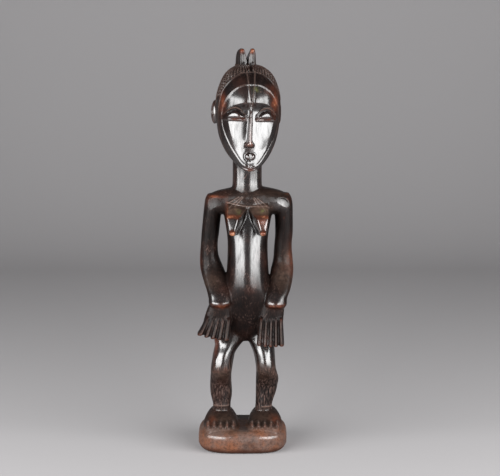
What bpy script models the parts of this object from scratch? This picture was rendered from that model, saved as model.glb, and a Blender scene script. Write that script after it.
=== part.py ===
"""Standing spirit figure, carved in one piece with its rounded plinth from a single block of dark wood.

The origin is at the centre of the plinth's underside. +Z is up and the figure faces -Y.
"""

import math

import bmesh
import bpy
import numpy as np
from mathutils import Matrix

# Driving dimensions, in metres
PLINTH_HEIGHT = 0.024
PLINTH_WIDTH = 0.093
PLINTH_DEPTH = 0.084
PLINTH_SQUARENESS = 3.4
PLINTH_FOOT_ROUND = 0.009
PLINTH_TOP_ROUND = 0.008
FIGURE_HEIGHT = 0.396

# The figure is drawn 396 units tall above its plinth, and all its proportions are in that unit.
UNITS_TALL = 396
UNIT = FIGURE_HEIGHT / UNITS_TALL

# How finely the block is carved
CARVING_GRAIN = 0.9 * UNIT
SOFTENING_PASSES = 8
MOST_TRIANGLES = 9800
SINK = 0.003
AROUND, ALONG = 40, 56

# Places that several forms share, in units: x to the figure's left, heights above the plinth
BODY_X = 5.5
HEAD_X, HEAD_HEIGHT = 5.4, 326
HEAD_TURN = math.radians(6.5)
HEAD_ROLL = math.radians(1.8)
FACE_SHIFT = -0.7
CREST_X = 4.2
EAR_BACK, EAR_HEIGHT, EAR_SIZE = 13, 329, (4.5, 7.5, 12.8)
LEFT_FOOT_X, RIGHT_FOOT_X = -22.8, 23.3

# Sections of each form: place along its axis, centre (two values), half width, then its reach each way
TORSO = (
    (89, 4.0, 2, 8, 8, 10),
    (97, 4.4, 2, 17, 15, 15),
    (108, 5.0, 2, 27, 22, 18),
    (120, 5.3, 1, 30, 26.5, 19),
    (138, 5.3, 0, 27.5, 29.5, 18),
    (152, 5.3, -1, 23.5, 29.5, 15.5),
    (175, 5.3, 0, 21.3, 26, 13),
    (200, 5.3, 1, 21.3, 22, 14),
    (222, 5.5, 2, 25, 19, 16),
    (238, 6.0, 2, 29, 18, 16),
    (248, 6.3, 2, 26, 14, 14),
    (253, 6.5, 2, 16, 8, 10),
)
YOKE = (
    (-37.5, 2, 233, 9, 8, 8),
    (-32, 2, 235.5, 12, 12, 10.5),
    (-20, 2, 237, 14, 13.5, 13),
    (6, 2, 238, 17, 14, 16),
    (30, 2, 237.5, 14.5, 14, 13.5),
    (44, 2, 235.5, 12.5, 12, 11),
    (50.5, 2, 232.5, 9, 8, 8),
)
NECK = (
    (240, 5.0, 3, 18, 16, 16),
    (251, 4.9, 3, 15.8, 15.5, 15),
    (262, 4.9, 3, 15.2, 15, 15),
    (280, 5.0, 2.5, 15.2, 15, 15),
    (300, 5.5, 0, 15.5, 15, 16),
)
HEAD = (
    (379, 0, 1, 6, 6, 7),
    (377, 0, 1, 14, 14, 16),
    (371, 0, 1, 22.5, 24, 26),
    (362, 0, 0, 28, 31.5, 32),
    (348, 0, 0, 32.3, 37.5, 35.5),
    (334, 0, 0, 33.1, 40, 35.5),
    (318, 0, 0, 31.8, 41, 32),
    (304, 0, -3, 29.2, 37.5, 27),
    (290, 0, -10, 23, 30.5, 26),
    (280, 0, -19, 15.3, 21.8, 20),
    (274, 0, -27, 8.5, 12.5, 14),
    (272, 0, -30, 5, 8, 9),
)
HEAD_SQUARENESS = 2.15
LEFT_ARM = (
    (246, -28, 2, 8, 7, 7),
    (240, -29.3, 2, 9.5, 12, 12),
    (230, -31, 2.5, 9.4, 12.5, 12.5),
    (206, -33.6, 3, 9.2, 11, 11),
    (192, -35, 3.5, 8.9, 10.5, 10.5),
    (181, -35, 4, 9.6, 11, 11),
    (172, -33.4, 3, 11.3, 12, 12),
    (164, -31, -1, 12.6, 12, 12),
    (154, -27.5, -9, 13, 11, 12),
    (145, -24.5, -16, 12.6, 10.5, 12),
    (138, -23, -20, 12.4, 10.5, 12),
    (133, -23, -22, 12, 10.5, 11),
    (129, -23.5, -22, 9, 6, 8),
)
RIGHT_ARM = (
    (247, 40, 2, 8, 7, 7),
    (240, 41.6, 2, 10, 12, 12),
    (230, 42.8, 2.5, 9.8, 12.5, 12.5),
    (206, 43.4, 3, 9.2, 11, 11),
    (190, 42.4, 3.5, 9.2, 10.5, 10.5),
    (176, 42.5, 4, 10.3, 11.5, 11.5),
    (166, 41.5, 0, 11.8, 12, 12),
    (155, 40, -8, 12, 11, 12),
    (146, 37.5, -15, 12.2, 10.5, 12),
    (138, 35, -20, 11.5, 10.5, 12),
    (132, 34.6, -22, 11.5, 10.5, 11),
    (128, 34.4, -22, 9, 6, 8),
)
LEFT_PALM = (
    (136, -22.5, -20, 9, 7, 9),
    (129, -24, -20, 12, 7.5, 9),
    (120, -25.5, -21, 13.5, 7, 9),
    (112, -27, -22, 14, 6, 8),
    (106, -28, -22, 13, 4, 6),
)
RIGHT_PALM = (
    (135, 34, -20, 9, 7, 9),
    (128, 32, -20, 11.5, 7.5, 9),
    (118, 30.2, -21, 12.5, 7, 9),
    (108, 29, -23, 12.8, 6, 8),
    (100, 28.7, -24, 12, 4, 6),
)
# Each hand's outermost and innermost finger: x and height of its root, then of its tip
LEFT_FINGERS = ((-36.0, 117, -43.6, 101), (-14.6, 116, -17.2, 95.5))
RIGHT_FINGERS = ((39.6, 116, 40.4, 89.5), (19.8, 116, 17.6, 90))
FINGER_KNUCKLE, FINGER_GROOVE = 4, 1.5
LEFT_LEG = (
    (122, -7, 4, 10, 9, 12),
    (108, -11, 4, 15, 14, 19),
    (98, -12.8, 3, 16.4, 15.5, 20.5),
    (90, -14.3, 1, 15.7, 16.5, 20),
    (85, -16, 0, 13.4, 17, 19),
    (78, -19.2, -2, 11.8, 17.5, 17),
    (70, -20.9, -5, 11.4, 16, 15),
    (61, -22.2, -8, 11.2, 13.5, 13.5),
    (54, -22.8, -5, 11, 12.5, 14.5),
    (43, -23.2, 2, 11.4, 12.5, 15),
    (32, -22.7, 2, 11.4, 12, 13),
    (21, -22.2, 0, 9.3, 11, 10),
    (8, -22.2, 0, 10, 11, 11),
)
RIGHT_LEG = (
    (122, 16, 4, 10, 9, 12),
    (108, 18.5, 4, 15, 14, 19),
    (98, 19.4, 3, 15.8, 15.5, 20.5),
    (90, 19.8, 1, 14, 16.5, 20),
    (85, 20.9, 0, 12.6, 17, 19),
    (76, 22.9, -3, 11.2, 17, 17),
    (62, 24.7, -8, 10.4, 13.5, 13.5),
    (50, 26, -2, 11.9, 12.5, 15),
    (42, 25.5, 2, 11.6, 12.5, 15),
    (35, 24.8, 2, 10.8, 12, 13),
    (21, 22.3, 0, 8.8, 11, 10),
    (8, 22.3, 0, 10, 11, 11),
)
# The feet and crest lobes run front to back, and their centres are given from their own middle line
FOOT = (
    (26, 0, 0, 8, 4, 9),
    (21, 0, 0, 12.5, 4, 15),
    (10, 0, 0, 16, 4, 18.5),
    (-2, 0, 0, 18.2, 4, 18),
    (-13, 0, 0, 19, 4, 14.5),
    (-23, 0, 0, 18, 4, 9.5),
    (-28, 0, 0, 16.5, 4, 6.5),
    (-32, 0, 0, 14.5, 4, 4),
    (-34, 0, 0, 12, 4, 3),
)
TOE_SPREAD, TOE_FRONT, TOE_TURN, TOE_HEIGHT, TOE_SIZE = 6.7, 29.5, 0.9, 2.6, (3.2, 6.5, 3.4)
# One breast as the corners of its planes: sideways from the body's middle, front to back, height
BREAST_CORNERS = (
    (21, -8, 238),
    (21, -17, 235),
    (0.5, -16, 233),
    (21.5, -38, 225),
    (9.6, -40, 223.5),
    (18.8, -43, 211),
    (13.2, -44, 211),
    (18, -42, 206.5),
    (13.6, -42.5, 206.5),
    (20, -10, 204),
    (9, -10, 206),
    (1, -10, 224),
)
NIPPLE, NIPPLE_SIZE = (15.6, -43.5, 208.8), (3.2, 3.4, 2.7)
CREST_LOBE = (
    (-12.6, 4.3, 381, 3.6, 12, 14.2),
    (-6, 4.7, 381, 4.1, 12, 15),
    (4, 5.3, 380, 4.9, 12, 14.5),
    (14, 5.6, 377, 5.3, 12, 12.5),
    (22, 4.9, 372, 5.0, 12, 9),
)
# The notch between the lobes: the heights it opens over, and the share of a lobe's width it takes at the top
NOTCH_FOOT, NOTCH_TOP, NOTCH_SHARE = 381, 394, 0.13
# Rounded forms of the body: sideways from the body's middle, front to back, height, and their radii
BUTTOCK, BUTTOCK_SIZE = (12, 16, 107), (14, 12.5, 17)
SHOULDER_BLADE, SHOULDER_BLADE_SIZE = (13, 12, 224), (12, 7.5, 17)
# The face: sideways reach or depth at each height
CHEEK_REACH = ((275, 0), (277, 4), (284, 9.3), (294.6, 16.4), (310, 22), (324.7, 26), (334, 28), (346, 28))
FACE_DEPTH = (
    (272, 38.5), (280, 40), (290, 39.3), (304, 38.3), (318, 37.4), (324, 36.4),
    (331, 36.0), (335, 36.4), (339, 37.8), (343, 39.6), (347, 41.5),
)
FACE_TOP = 347
BROW_ARCH, BROW_END = 5.0, 27
CHEEK_SLOPE, CHEEK_ROUND = 0.60, 17
NOSE_FOOT, NOSE_TOP, NOSE_LEAN = 296, 340, 0.035
NOSE_HEIGHT = ((296.3, 0), (297.6, 6), (300, 7.6), (308, 6.6), (331, 4), (337, 1.5), (340, 0))
NOSE_REACH = ((297, 5.2), (299.5, 5.8), (301.5, 3.6), (304, 2.7), (320, 2.4), (337, 2.0))
EYE_SPREAD, EYE_HEIGHT, EYE_REACH, EYE_RISE, EYE_FALL = 15.7, 326.2, 11, 9.3, 1.0
BALL_SHARE, BALL_LENGTH, BALL_BULGE, LID_BULGE = 0.68, 0.9, 3.4, 1.5
LEDGE_DROP, LEDGE_WIDTH, LEDGE_BULGE = 2.2, 1.1, 1.5
MOUTH_HEIGHT, MOUTH_REACH, MOUTH_RISE, MOUTH_BULGE = 287.3, 5.4, 3.9, 2.8
CLEFT_DEPTH, CLEFT_WIDTH = 0.7, 0.9
PARTING_TOP, PARTING_FOOT, PARTING_REACH = 372, 338, 4.4
# Half of each raised line on the head, from the top of the forehead round to the chin: sideways, height
HAIRLINE = (
    (0, 372), (10, 370.5), (20, 364), (27, 355), (30.5, 345), (31.6, 332),
    (30.8, 318), (28, 304), (22.8, 291.5), (15.5, 281.5), (8.5, 275.5), (0, 272.5),
)
FACE_RIM = (
    (0, 360), (9, 359), (18, 354), (24.5, 346), (28.3, 336), (29, 326),
    (27, 313), (21.4, 299), (14.5, 287.5), (8, 279), (0, 275.3),
)
HAIRLINE_RISE, HAIRLINE_WIDTH = 1.5, 1.4
RIM_RISE, RIM_WIDTH = 1.3, 1.3
# Heights on the head, in its own frame, between which its skin is carved
CARVED_FOOT, CARVED_TOP, CHIN_FOOT, CHIN_TOP = 271.5, 376, 272, 275
NECK_CUT = 264
EAR_HOLLOW, EAR_HOLLOW_SIZE = 2.4, (4, 8)
SPINE_FOOT, SPINE_TOP, SPINE_FADE, SPINE_DEPTH, SPINE_WIDTH = 112, 240, 10, 1.6, 3
PLINTH_TURN_STEPS = 6
SHARP_ANGLE = math.radians(50)


def clear_scene():
    for obj in list(bpy.data.objects):
        bpy.data.objects.remove(obj, do_unlink=True)


def mesh_points(mesh):
    points = np.empty(len(mesh.vertices) * 3)
    mesh.vertices.foreach_get("co", points)
    return points.reshape(-1, 3)


def set_mesh_points(mesh, points):
    mesh.vertices.foreach_set("co", points.ravel())
    mesh.update()


def smooth_rows(rows, places):
    """Catmull-Rom values of the rows at places between 0 and 1."""
    rows = np.array(rows, float)
    padded = np.vstack([2 * rows[0] - rows[1], rows, 2 * rows[-1] - rows[-2]])
    at = np.clip(places, 0, 1) * (len(rows) - 1)
    first = np.minimum(at.astype(int), len(rows) - 2)
    t = (at - first)[:, None]
    a, b, c, d = (padded[first + k] for k in range(4))
    return 0.5 * (2 * b + (c - a) * t + (2 * a - 5 * b + 4 * c - d) * t**2 + (3 * b - a - 3 * c + d) * t**3)


def eased(value, low, high):
    """0 up to low, 1 from high, and a smooth step between."""
    t = np.clip((value - low) / (high - low), 0, 1)
    return t * t * (3 - 2 * t)


def oval_form(rows, axis="Z", squareness=2.0, mirrored=False):
    """A closed form through oval sections. It starts as a sphere, whose latitudes become the sections."""
    bm = bmesh.new()
    bmesh.ops.create_uvsphere(bm, u_segments=AROUND, v_segments=ALONG, radius=1)
    mesh = bpy.data.meshes.new("form")
    bm.to_mesh(mesh)
    bm.free()
    sphere = mesh_points(mesh)
    along = np.arccos(np.clip(sphere[:, 2], -1, 1)) / math.pi
    angle = np.arctan2(sphere[:, 1], sphere[:, 0])
    on_side = np.hypot(sphere[:, 0], sphere[:, 1]) > 1e-4
    across, depth = np.cos(angle) * on_side, np.sin(angle) * on_side
    power = 2 / squareness
    across = np.sign(across) * np.abs(across) ** power
    depth = np.sign(depth) * np.abs(depth) ** power
    place, centre_a, centre_b, half, low, high = smooth_rows(rows, along).T
    a = centre_a + across * half
    b = centre_b + depth * np.where(depth < 0, low, high)
    if mirrored:
        a = -a
    columns = {"Z": (a, b, place), "Y": (a, place, b), "X": (place, a, b)}[axis]
    set_mesh_points(mesh, np.stack(columns, axis=1))
    return mesh


def moved(mesh, matrix):
    mesh.transform(matrix)
    return mesh


def head_half(height):
    """Half the head's width at a height."""
    places, _, _, halves, _, _ = np.array(HEAD).T[:, ::-1]
    return float(np.interp(height, places, halves))


def turned_about(centre, angle, axis):
    there = Matrix.Translation(centre)
    return there @ Matrix.Rotation(angle, 4, axis) @ there.inverted()


def head_matrix():
    centre = Matrix.Translation((HEAD_X, 0, 0))
    tilt = turned_about((HEAD_X, 0, HEAD_HEIGHT), HEAD_ROLL, "Y")
    turn = turned_about((HEAD_X, 0, 0), HEAD_TURN, "Z")
    return tilt @ turn @ centre


def ellipsoid(centre, radii):
    bm = bmesh.new()
    bmesh.ops.create_uvsphere(bm, u_segments=24, v_segments=16, radius=1)
    bmesh.ops.scale(bm, vec=radii, verts=bm.verts)
    bmesh.ops.translate(bm, vec=centre, verts=bm.verts)
    mesh = bpy.data.meshes.new("ellipsoid")
    bm.to_mesh(mesh)
    bm.free()
    return mesh


def hull_of(corners, side):
    """The flat-sided form over one breast's corners."""
    bm = bmesh.new()
    for x, y, z in corners:
        bm.verts.new((BODY_X + side * x, y, z))
    hull = bmesh.ops.convex_hull(bm, input=bm.verts[:])
    bmesh.ops.delete(bm, geom=hull["geom_interior"], context="VERTS")
    mesh = bpy.data.meshes.new("hull")
    bm.to_mesh(mesh)
    bm.free()
    return mesh


def fingers(outer, inner):
    """Five square-ended fingers, spread evenly from the outermost to the innermost."""
    forms = []
    for share in np.linspace(0, 1, 5):
        root_x, root, tip_x, tip = np.array(outer) * (1 - share) + np.array(inner) * share
        tip += 3.5 * (share - 0.5) ** 2 - 1.4
        half = 0.125 * abs(outer[2] - inner[2])
        rows = (
            (root + 3, root_x, -22, 0.7 * half, 5, 5),
            (root, root_x, -22, 0.85 * half, 7.5, 6),
            (0.5 * (root + tip), 0.5 * (root_x + tip_x), -23, half, 8.5, 7),
            (tip + 1.5, tip_x, -24.5, 1.04 * half, 8.8, 7),
            (tip, tip_x, -24.5, half, 8.3, 6.5),
        )
        forms.append(oval_form(rows, squareness=3))
    return forms


def toes(foot_x):
    forms = []
    for place in range(-2, 3):
        centre = (foot_x + place * TOE_SPREAD, TOE_TURN * place**2 - TOE_FRONT, TOE_HEIGHT)
        forms.append(ellipsoid(centre, TOE_SIZE))
    return forms


def body_forms():
    forms = [
        oval_form(TORSO, squareness=2.2),
        oval_form(YOKE, axis="X", squareness=2.4),
        oval_form(NECK, squareness=2.3),
        oval_form(LEFT_ARM, squareness=2.2),
        oval_form(RIGHT_ARM, squareness=2.2),
        oval_form(LEFT_LEG, squareness=2.2),
        oval_form(RIGHT_LEG, squareness=2.2),
        oval_form(LEFT_PALM, squareness=2.8),
        oval_form(RIGHT_PALM, squareness=2.8),
    ]
    forms += fingers(*LEFT_FINGERS) + fingers(*RIGHT_FINGERS)
    for side in (-1, 1):
        forms.append(hull_of(BREAST_CORNERS, side))
        rounded = ((BUTTOCK, BUTTOCK_SIZE), (SHOULDER_BLADE, SHOULDER_BLADE_SIZE), (NIPPLE, NIPPLE_SIZE))
        for (x, y, z), radii in rounded:
            forms.append(ellipsoid((BODY_X + side * x, y, z), radii))
    for foot_x in (LEFT_FOOT_X, RIGHT_FOOT_X):
        forms.append(moved(oval_form(FOOT, axis="Y", squareness=2.2), Matrix.Translation((foot_x, 0, 0))))
        forms += toes(foot_x)
    return forms


def crest_lobe(side):
    """One lobe, with its inner side cut back towards the top to open the notch."""
    lobe = oval_form(CREST_LOBE, axis="Y", squareness=2.8, mirrored=side < 0)
    points = mesh_points(lobe)
    places, centres, _, halves, _, _ = np.array(CREST_LOBE).T
    outer = side * np.interp(points[:, 1], places, centres + halves)
    points[:, 0] -= (points[:, 0] - outer) * NOTCH_SHARE * eased(points[:, 2], NOTCH_FOOT, NOTCH_TOP)
    set_mesh_points(lobe, points)
    return lobe


def head_forms():
    forms = [moved(oval_form(HEAD, squareness=HEAD_SQUARENESS), head_matrix())]
    for side in (-1, 1):
        lobe = crest_lobe(side)
        forms.append(moved(lobe, Matrix.Translation((CREST_X, 0, 0)) @ Matrix.Rotation(HEAD_TURN, 4, "Z")))
        ear = ellipsoid((side * head_half(EAR_HEIGHT), EAR_BACK, EAR_HEIGHT), EAR_SIZE)
        forms.append(moved(ear, head_matrix()))
    return forms


def plinth_rows():
    """Sections of the plinth in metres, from just below its underside to its top."""
    half_width, half_depth = PLINTH_WIDTH / 2, PLINTH_DEPTH / 2

    def row(height, inset):
        return (height, 0, 0, half_width - inset, half_depth - inset, half_depth - inset)

    rows = [row(-SINK, PLINTH_FOOT_ROUND)]
    for step in range(PLINTH_TURN_STEPS + 1):
        turn = math.pi / 2 * step / PLINTH_TURN_STEPS
        rows.append(row(PLINTH_FOOT_ROUND * (1 - math.cos(turn)), PLINTH_FOOT_ROUND * (1 - math.sin(turn))))
    for step in range(PLINTH_TURN_STEPS + 1):
        turn = math.pi / 2 * step / PLINTH_TURN_STEPS
        rise = PLINTH_HEIGHT - PLINTH_TOP_ROUND * (1 - math.sin(turn))
        rows.append(row(rise, PLINTH_TOP_ROUND * (1 - math.cos(turn))))
    return rows


def along_table(table, at):
    places, values = np.array(table, float).T
    return np.interp(at, places, values)


def smooth_table(table, at):
    """The table's values at these places, along a curve without corners."""
    curve = smooth_rows(table, np.linspace(0, 1, 40 * len(table)))
    return np.interp(at, curve[:, 0], curve[:, 1])


def bump(distance, reach):
    return np.exp(-((distance / reach) ** 2))


def head_front(across, height):
    """How far forward the bare head form reaches."""
    place, _, centre, half, low, _ = smooth_rows(HEAD, np.linspace(0, 1, 200)).T[:, ::-1]
    centre, half, low = (np.interp(height, place, column) for column in (centre, half, low))
    share = np.clip(np.abs(across) / half, 0, 1)
    return low * (1 - share**HEAD_SQUARENESS) ** (1 / HEAD_SQUARENESS) - centre


def head_line(table):
    """Points along one raised line of the head, both halves."""
    across, height = smooth_rows(table, np.linspace(0, 1, 60)).T
    front = head_front(across, height)
    half = np.stack([across, -front, height], axis=1)
    return np.vstack([half, half * (-1, 1, 1)])


def distance_to(points, line):
    nearest = np.full(len(points), np.inf)
    for at in line:
        np.minimum(nearest, np.linalg.norm(points - at, axis=1), out=nearest)
    return nearest


def carve_planes(u, v, w, ahead):
    """The cheeks, the hollow under the brow and the brow's arch."""
    side = np.abs(u)
    arched = v + BROW_ARCH * (side / BROW_END) ** 2 * eased(v, 324, 336)
    plane = smooth_table(FACE_DEPTH, arched) - CHEEK_SLOPE * (np.sqrt(u**2 + CHEEK_ROUND**2) - CHEEK_ROUND)
    inside = eased(along_table(CHEEK_REACH, v) - side, -1, 1.6) * (arched < FACE_TOP) * ahead
    most = 0.6 * (1 - eased(v, 318, 330))
    return w + inside * np.minimum(plane - w, most)


def lens_share(across, above, rise, fall):
    """How far out of a lens outline a point lies, 1 being on it, and the lens's own height there."""
    lens = np.clip(1 - across**2, 0, 1)
    tall = 0.5 * (rise + fall) * lens + 0.25
    return np.abs(above - 0.5 * (rise - fall) * lens) / tall, lens


def carve_eyes(u, v, w, ahead):
    """Almond eyes: a lid, the ball inside it and a ledge below."""
    across, above = (np.abs(u) - EYE_SPREAD) / EYE_REACH, v - EYE_HEIGHT
    whole, lens = lens_share(across, above, EYE_RISE, EYE_FALL)
    ball, inner = lens_share(across / BALL_LENGTH, above, BALL_SHARE * EYE_RISE, EYE_FALL)
    lid = LID_BULGE * (1 - eased(whole, 0.8, 1.15)) * eased(lens, 0, 0.4)
    globe = BALL_BULGE * np.sqrt(np.clip(1 - ball**2, 0, 1)) * inner**0.6
    ledge = LEDGE_BULGE * bump(above + LEDGE_DROP, LEDGE_WIDTH) * eased(lens, 0, 0.25)
    return w + (lid + globe + ledge) * ahead


def carve_nose_and_mouth(u, v, w, ahead):
    lean = u + NOSE_LEAN * (NOSE_TOP - v)
    across = np.clip(np.abs(lean) / along_table(NOSE_REACH, v), 0, 1)
    nose = along_table(NOSE_HEIGHT, v) * (v > NOSE_FOOT) * (v < NOSE_TOP) * (1 - across**2.6)
    rho = np.clip(np.hypot(u / MOUTH_REACH, (v - MOUTH_HEIGHT) / MOUTH_RISE), 0, 1)
    cleft = bump(u, CLEFT_WIDTH + 0.45 * np.clip(v - MOUTH_HEIGHT + 3, 0, None))
    mouth = MOUTH_BULGE * np.sqrt(1 - rho**2) * (1 - CLEFT_DEPTH * cleft)
    return w + (nose + mouth) * ahead


def carve_face(points):
    """The face's planes and features, cut into the front of the head in the head's own frame."""
    u, v, w = points[:, 0] - FACE_SHIFT, points[:, 2], -points[:, 1]
    ahead = w > 0
    for carve in (carve_planes, carve_eyes, carve_nose_and_mouth):
        w = carve(u, v, w, ahead)
    return np.stack([points[:, 0], -w, v], axis=1)


def carve_lines(points, normals):
    """The raised hairline and face rim, the parting ridge of the forehead and the hollows of the ears."""
    u, v = np.abs(points[:, 0] - FACE_SHIFT), points[:, 2]
    lift = HAIRLINE_RISE * bump(distance_to(points, head_line(HAIRLINE)), HAIRLINE_WIDTH)
    lift += RIM_RISE * bump(distance_to(points, head_line(FACE_RIM)), RIM_WIDTH)
    lift *= eased(v, CHIN_FOOT, CHIN_TOP)
    taper = 0.35 + 0.65 * eased(v, PARTING_FOOT, PARTING_TOP - 14)
    on_parting = eased(v, PARTING_FOOT - 1, PARTING_FOOT + 2) * (1 - eased(v, PARTING_TOP, PARTING_TOP + 2))
    profile = 1.2 * bump(u - 0.4 * PARTING_REACH * taper, 1.5) - 1.1 * bump(u - PARTING_REACH * taper, 1.6)
    lift += profile * on_parting * (points[:, 1] < 0)
    back, up = EAR_HOLLOW_SIZE
    ear = np.hypot((points[:, 1] - EAR_BACK + 1.5) / back, (v - EAR_HEIGHT) / up)
    on_ear = np.abs(points[:, 0]) > head_half(EAR_HEIGHT) + 0.3
    lift -= EAR_HOLLOW * (1 - eased(ear, 0.4, 1)) * on_ear
    return points + normals * lift[:, None]


def cut_between_fingers(points, normals, hand):
    """Four grooves between the fingers, from the knuckles to the tips, on the front of the hand."""
    outer, inner = np.array(hand, float)
    for share in (0.125, 0.375, 0.625, 0.875):
        root_x, root, tip_x, tip = outer * (1 - share) + inner * share
        down = (root + FINGER_KNUCKLE - points[:, 2]) / (root + FINGER_KNUCKLE - tip)
        middle = root_x + (tip_x - root_x) * down
        reach = eased(down, 0, 0.35) * (1 - eased(down, 1.05, 1.1)) * (points[:, 1] < -20)
        points = points - normals * (FINGER_GROOVE * reach * bump(points[:, 0] - middle, 1.3))[:, None]
    return points


def carved(mesh):
    """The fused block with the face, hair and back cut into its skin."""
    points = (mesh_points(mesh) - (0, 0, PLINTH_HEIGHT)) / UNIT
    normals = np.empty(len(mesh.vertices) * 3)
    mesh.vertices.foreach_get("normal", normals)
    normals = normals.reshape(-1, 3)

    place = np.array(head_matrix())
    turn, shift = place[:3, :3], place[:3, 3]
    head = points[:, 2] > NECK_CUT
    local = (points[head] - shift) @ turn
    on_head = (local[:, 2] > CARVED_FOOT) & (local[:, 2] < CARVED_TOP)
    faced = carve_face(local)
    local = np.where(on_head[:, None], faced, local)
    local = np.where(on_head[:, None], carve_lines(local, normals[head] @ turn), local)
    points[head] = local @ turn.T + shift

    for hand in (LEFT_FINGERS, RIGHT_FINGERS):
        points = cut_between_fingers(points, normals, hand)
    spine = eased(points[:, 2], SPINE_FOOT, SPINE_FOOT + SPINE_FADE)
    spine *= 1 - eased(points[:, 2], SPINE_TOP - SPINE_FADE, SPINE_TOP)
    points[:, 1] -= SPINE_DEPTH * spine * (points[:, 1] > 5) * bump(points[:, 0] - BODY_X, SPINE_WIDTH)
    set_mesh_points(mesh, points * UNIT + (0, 0, PLINTH_HEIGHT))
    return mesh


def joined_forms():
    """All the forms in one mesh, in metres, still as separate overlapping bodies."""
    to_metres = Matrix.Translation((0, 0, PLINTH_HEIGHT)) @ Matrix.Scale(UNIT, 4)
    bm = bmesh.new()
    for mesh in body_forms() + head_forms():
        bm.from_mesh(moved(mesh, to_metres))
        bpy.data.meshes.remove(mesh)
    plinth = oval_form(plinth_rows()[::-1], squareness=PLINTH_SQUARENESS)
    bm.from_mesh(plinth)
    bpy.data.meshes.remove(plinth)
    bmesh.ops.recalc_face_normals(bm, faces=bm.faces)
    mesh = bpy.data.meshes.new("forms")
    bm.to_mesh(mesh)
    bm.free()
    return mesh


def fused(mesh, softening):
    """The overlapping bodies made one skin, with the hard inner corners of their joints softened."""
    obj = bpy.data.objects.new("rough_block", mesh)
    bpy.context.scene.collection.objects.link(obj)
    remesh = obj.modifiers.new("fuse", "REMESH")
    remesh.mode = "VOXEL"
    remesh.voxel_size = CARVING_GRAIN
    soften = obj.modifiers.new("soften", "SMOOTH")
    soften.factor = 0.5
    soften.iterations = softening
    result = evaluated_copy(obj)
    bpy.data.objects.remove(obj, do_unlink=True)
    return result


def evaluated_copy(obj):
    graph = bpy.context.evaluated_depsgraph_get()
    graph.update()
    return bpy.data.meshes.new_from_object(obj.evaluated_get(graph))


def thinned(mesh):
    """The same skin in fewer triangles, with the small ones kept where it curves."""
    obj = bpy.data.objects.new("fine_block", mesh)
    bpy.context.scene.collection.objects.link(obj)
    mesh.calc_loop_triangles()
    decimate = obj.modifiers.new("thin", "DECIMATE")
    decimate.ratio = min(1, MOST_TRIANGLES / len(mesh.loop_triangles))
    result = evaluated_copy(obj)
    bpy.data.objects.remove(obj, do_unlink=True)
    return result


def cut_flat(mesh):
    """The underside cut flat, so that the plinth stands on a true plane."""
    bm = bmesh.new()
    bm.from_mesh(mesh)
    everything = bm.verts[:] + bm.edges[:] + bm.faces[:]
    floor = {"plane_co": (0, 0, 0), "plane_no": (0, 0, -1)}
    cut = bmesh.ops.bisect_plane(bm, geom=everything, clear_outer=True, **floor)
    rim = [part for part in cut["geom_cut"] if isinstance(part, bmesh.types.BMEdge)]
    bmesh.ops.contextual_create(bm, geom=rim)
    bmesh.ops.triangulate(bm, faces=bm.faces)
    bmesh.ops.recalc_face_normals(bm, faces=bm.faces)
    bm.to_mesh(mesh)
    bm.free()
    return mesh


def dark_wood():
    material = bpy.data.materials.new("dark_wood")
    material.use_nodes = True
    shader = material.node_tree.nodes["Principled BSDF"]
    shader.inputs["Base Color"].default_value = (0.030, 0.018, 0.014, 1)
    shader.inputs["Roughness"].default_value = 0.32
    shader.inputs["Metallic"].default_value = 0
    return material


def main():
    clear_scene()
    collection = bpy.data.collections.new("spirit_figure")
    bpy.context.scene.collection.children.link(collection)
    block = carved(fused(joined_forms(), SOFTENING_PASSES))
    mesh = cut_flat(thinned(fused(block, 1)))
    mesh.name = "spirit_figure"
    figure = bpy.data.objects.new("spirit_figure", mesh)
    collection.objects.link(figure)
    mesh.materials.append(dark_wood())
    mesh.shade_smooth()
    mesh.set_sharp_from_angle(angle=SHARP_ANGLE)


main()
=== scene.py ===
# %% [markdown]
# # A standing spirit figure in polished dark wood
#
# The real figure is one block of dense wood. Its carver left the plinth, the feet, the body and the split
# crest all in one piece, and years of handling turned it black-brown and glossy, with red-brown edges.
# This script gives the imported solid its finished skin. The first step loads that solid as a fixed frame and
# notes its box, because the finished skin has to stay inside it.

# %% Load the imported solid
import itertools
import math

import bmesh
import bpy
import numpy as np
from mathutils import Matrix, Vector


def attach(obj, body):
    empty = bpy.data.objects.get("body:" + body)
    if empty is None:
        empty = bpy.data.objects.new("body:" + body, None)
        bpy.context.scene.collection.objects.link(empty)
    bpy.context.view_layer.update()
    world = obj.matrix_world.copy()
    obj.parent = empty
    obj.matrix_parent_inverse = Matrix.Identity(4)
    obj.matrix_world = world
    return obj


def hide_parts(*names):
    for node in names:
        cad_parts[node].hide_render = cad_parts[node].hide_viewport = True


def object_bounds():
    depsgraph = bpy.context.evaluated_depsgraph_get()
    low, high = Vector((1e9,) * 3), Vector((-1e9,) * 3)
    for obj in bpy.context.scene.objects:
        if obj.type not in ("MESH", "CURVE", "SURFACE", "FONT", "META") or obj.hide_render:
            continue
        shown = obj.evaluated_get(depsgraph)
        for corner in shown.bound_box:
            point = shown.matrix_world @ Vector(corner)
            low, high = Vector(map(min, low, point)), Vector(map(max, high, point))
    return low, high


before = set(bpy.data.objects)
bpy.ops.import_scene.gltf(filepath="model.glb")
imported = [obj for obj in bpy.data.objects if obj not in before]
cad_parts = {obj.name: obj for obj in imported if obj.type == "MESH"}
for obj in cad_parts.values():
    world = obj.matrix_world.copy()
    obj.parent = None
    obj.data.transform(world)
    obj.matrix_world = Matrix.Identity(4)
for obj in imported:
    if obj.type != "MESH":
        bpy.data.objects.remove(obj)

cad_low, cad_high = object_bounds()
print("solid", [round(1000 * (high - low), 1) for low, high in zip(cad_low, cad_high)], "mm")

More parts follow.
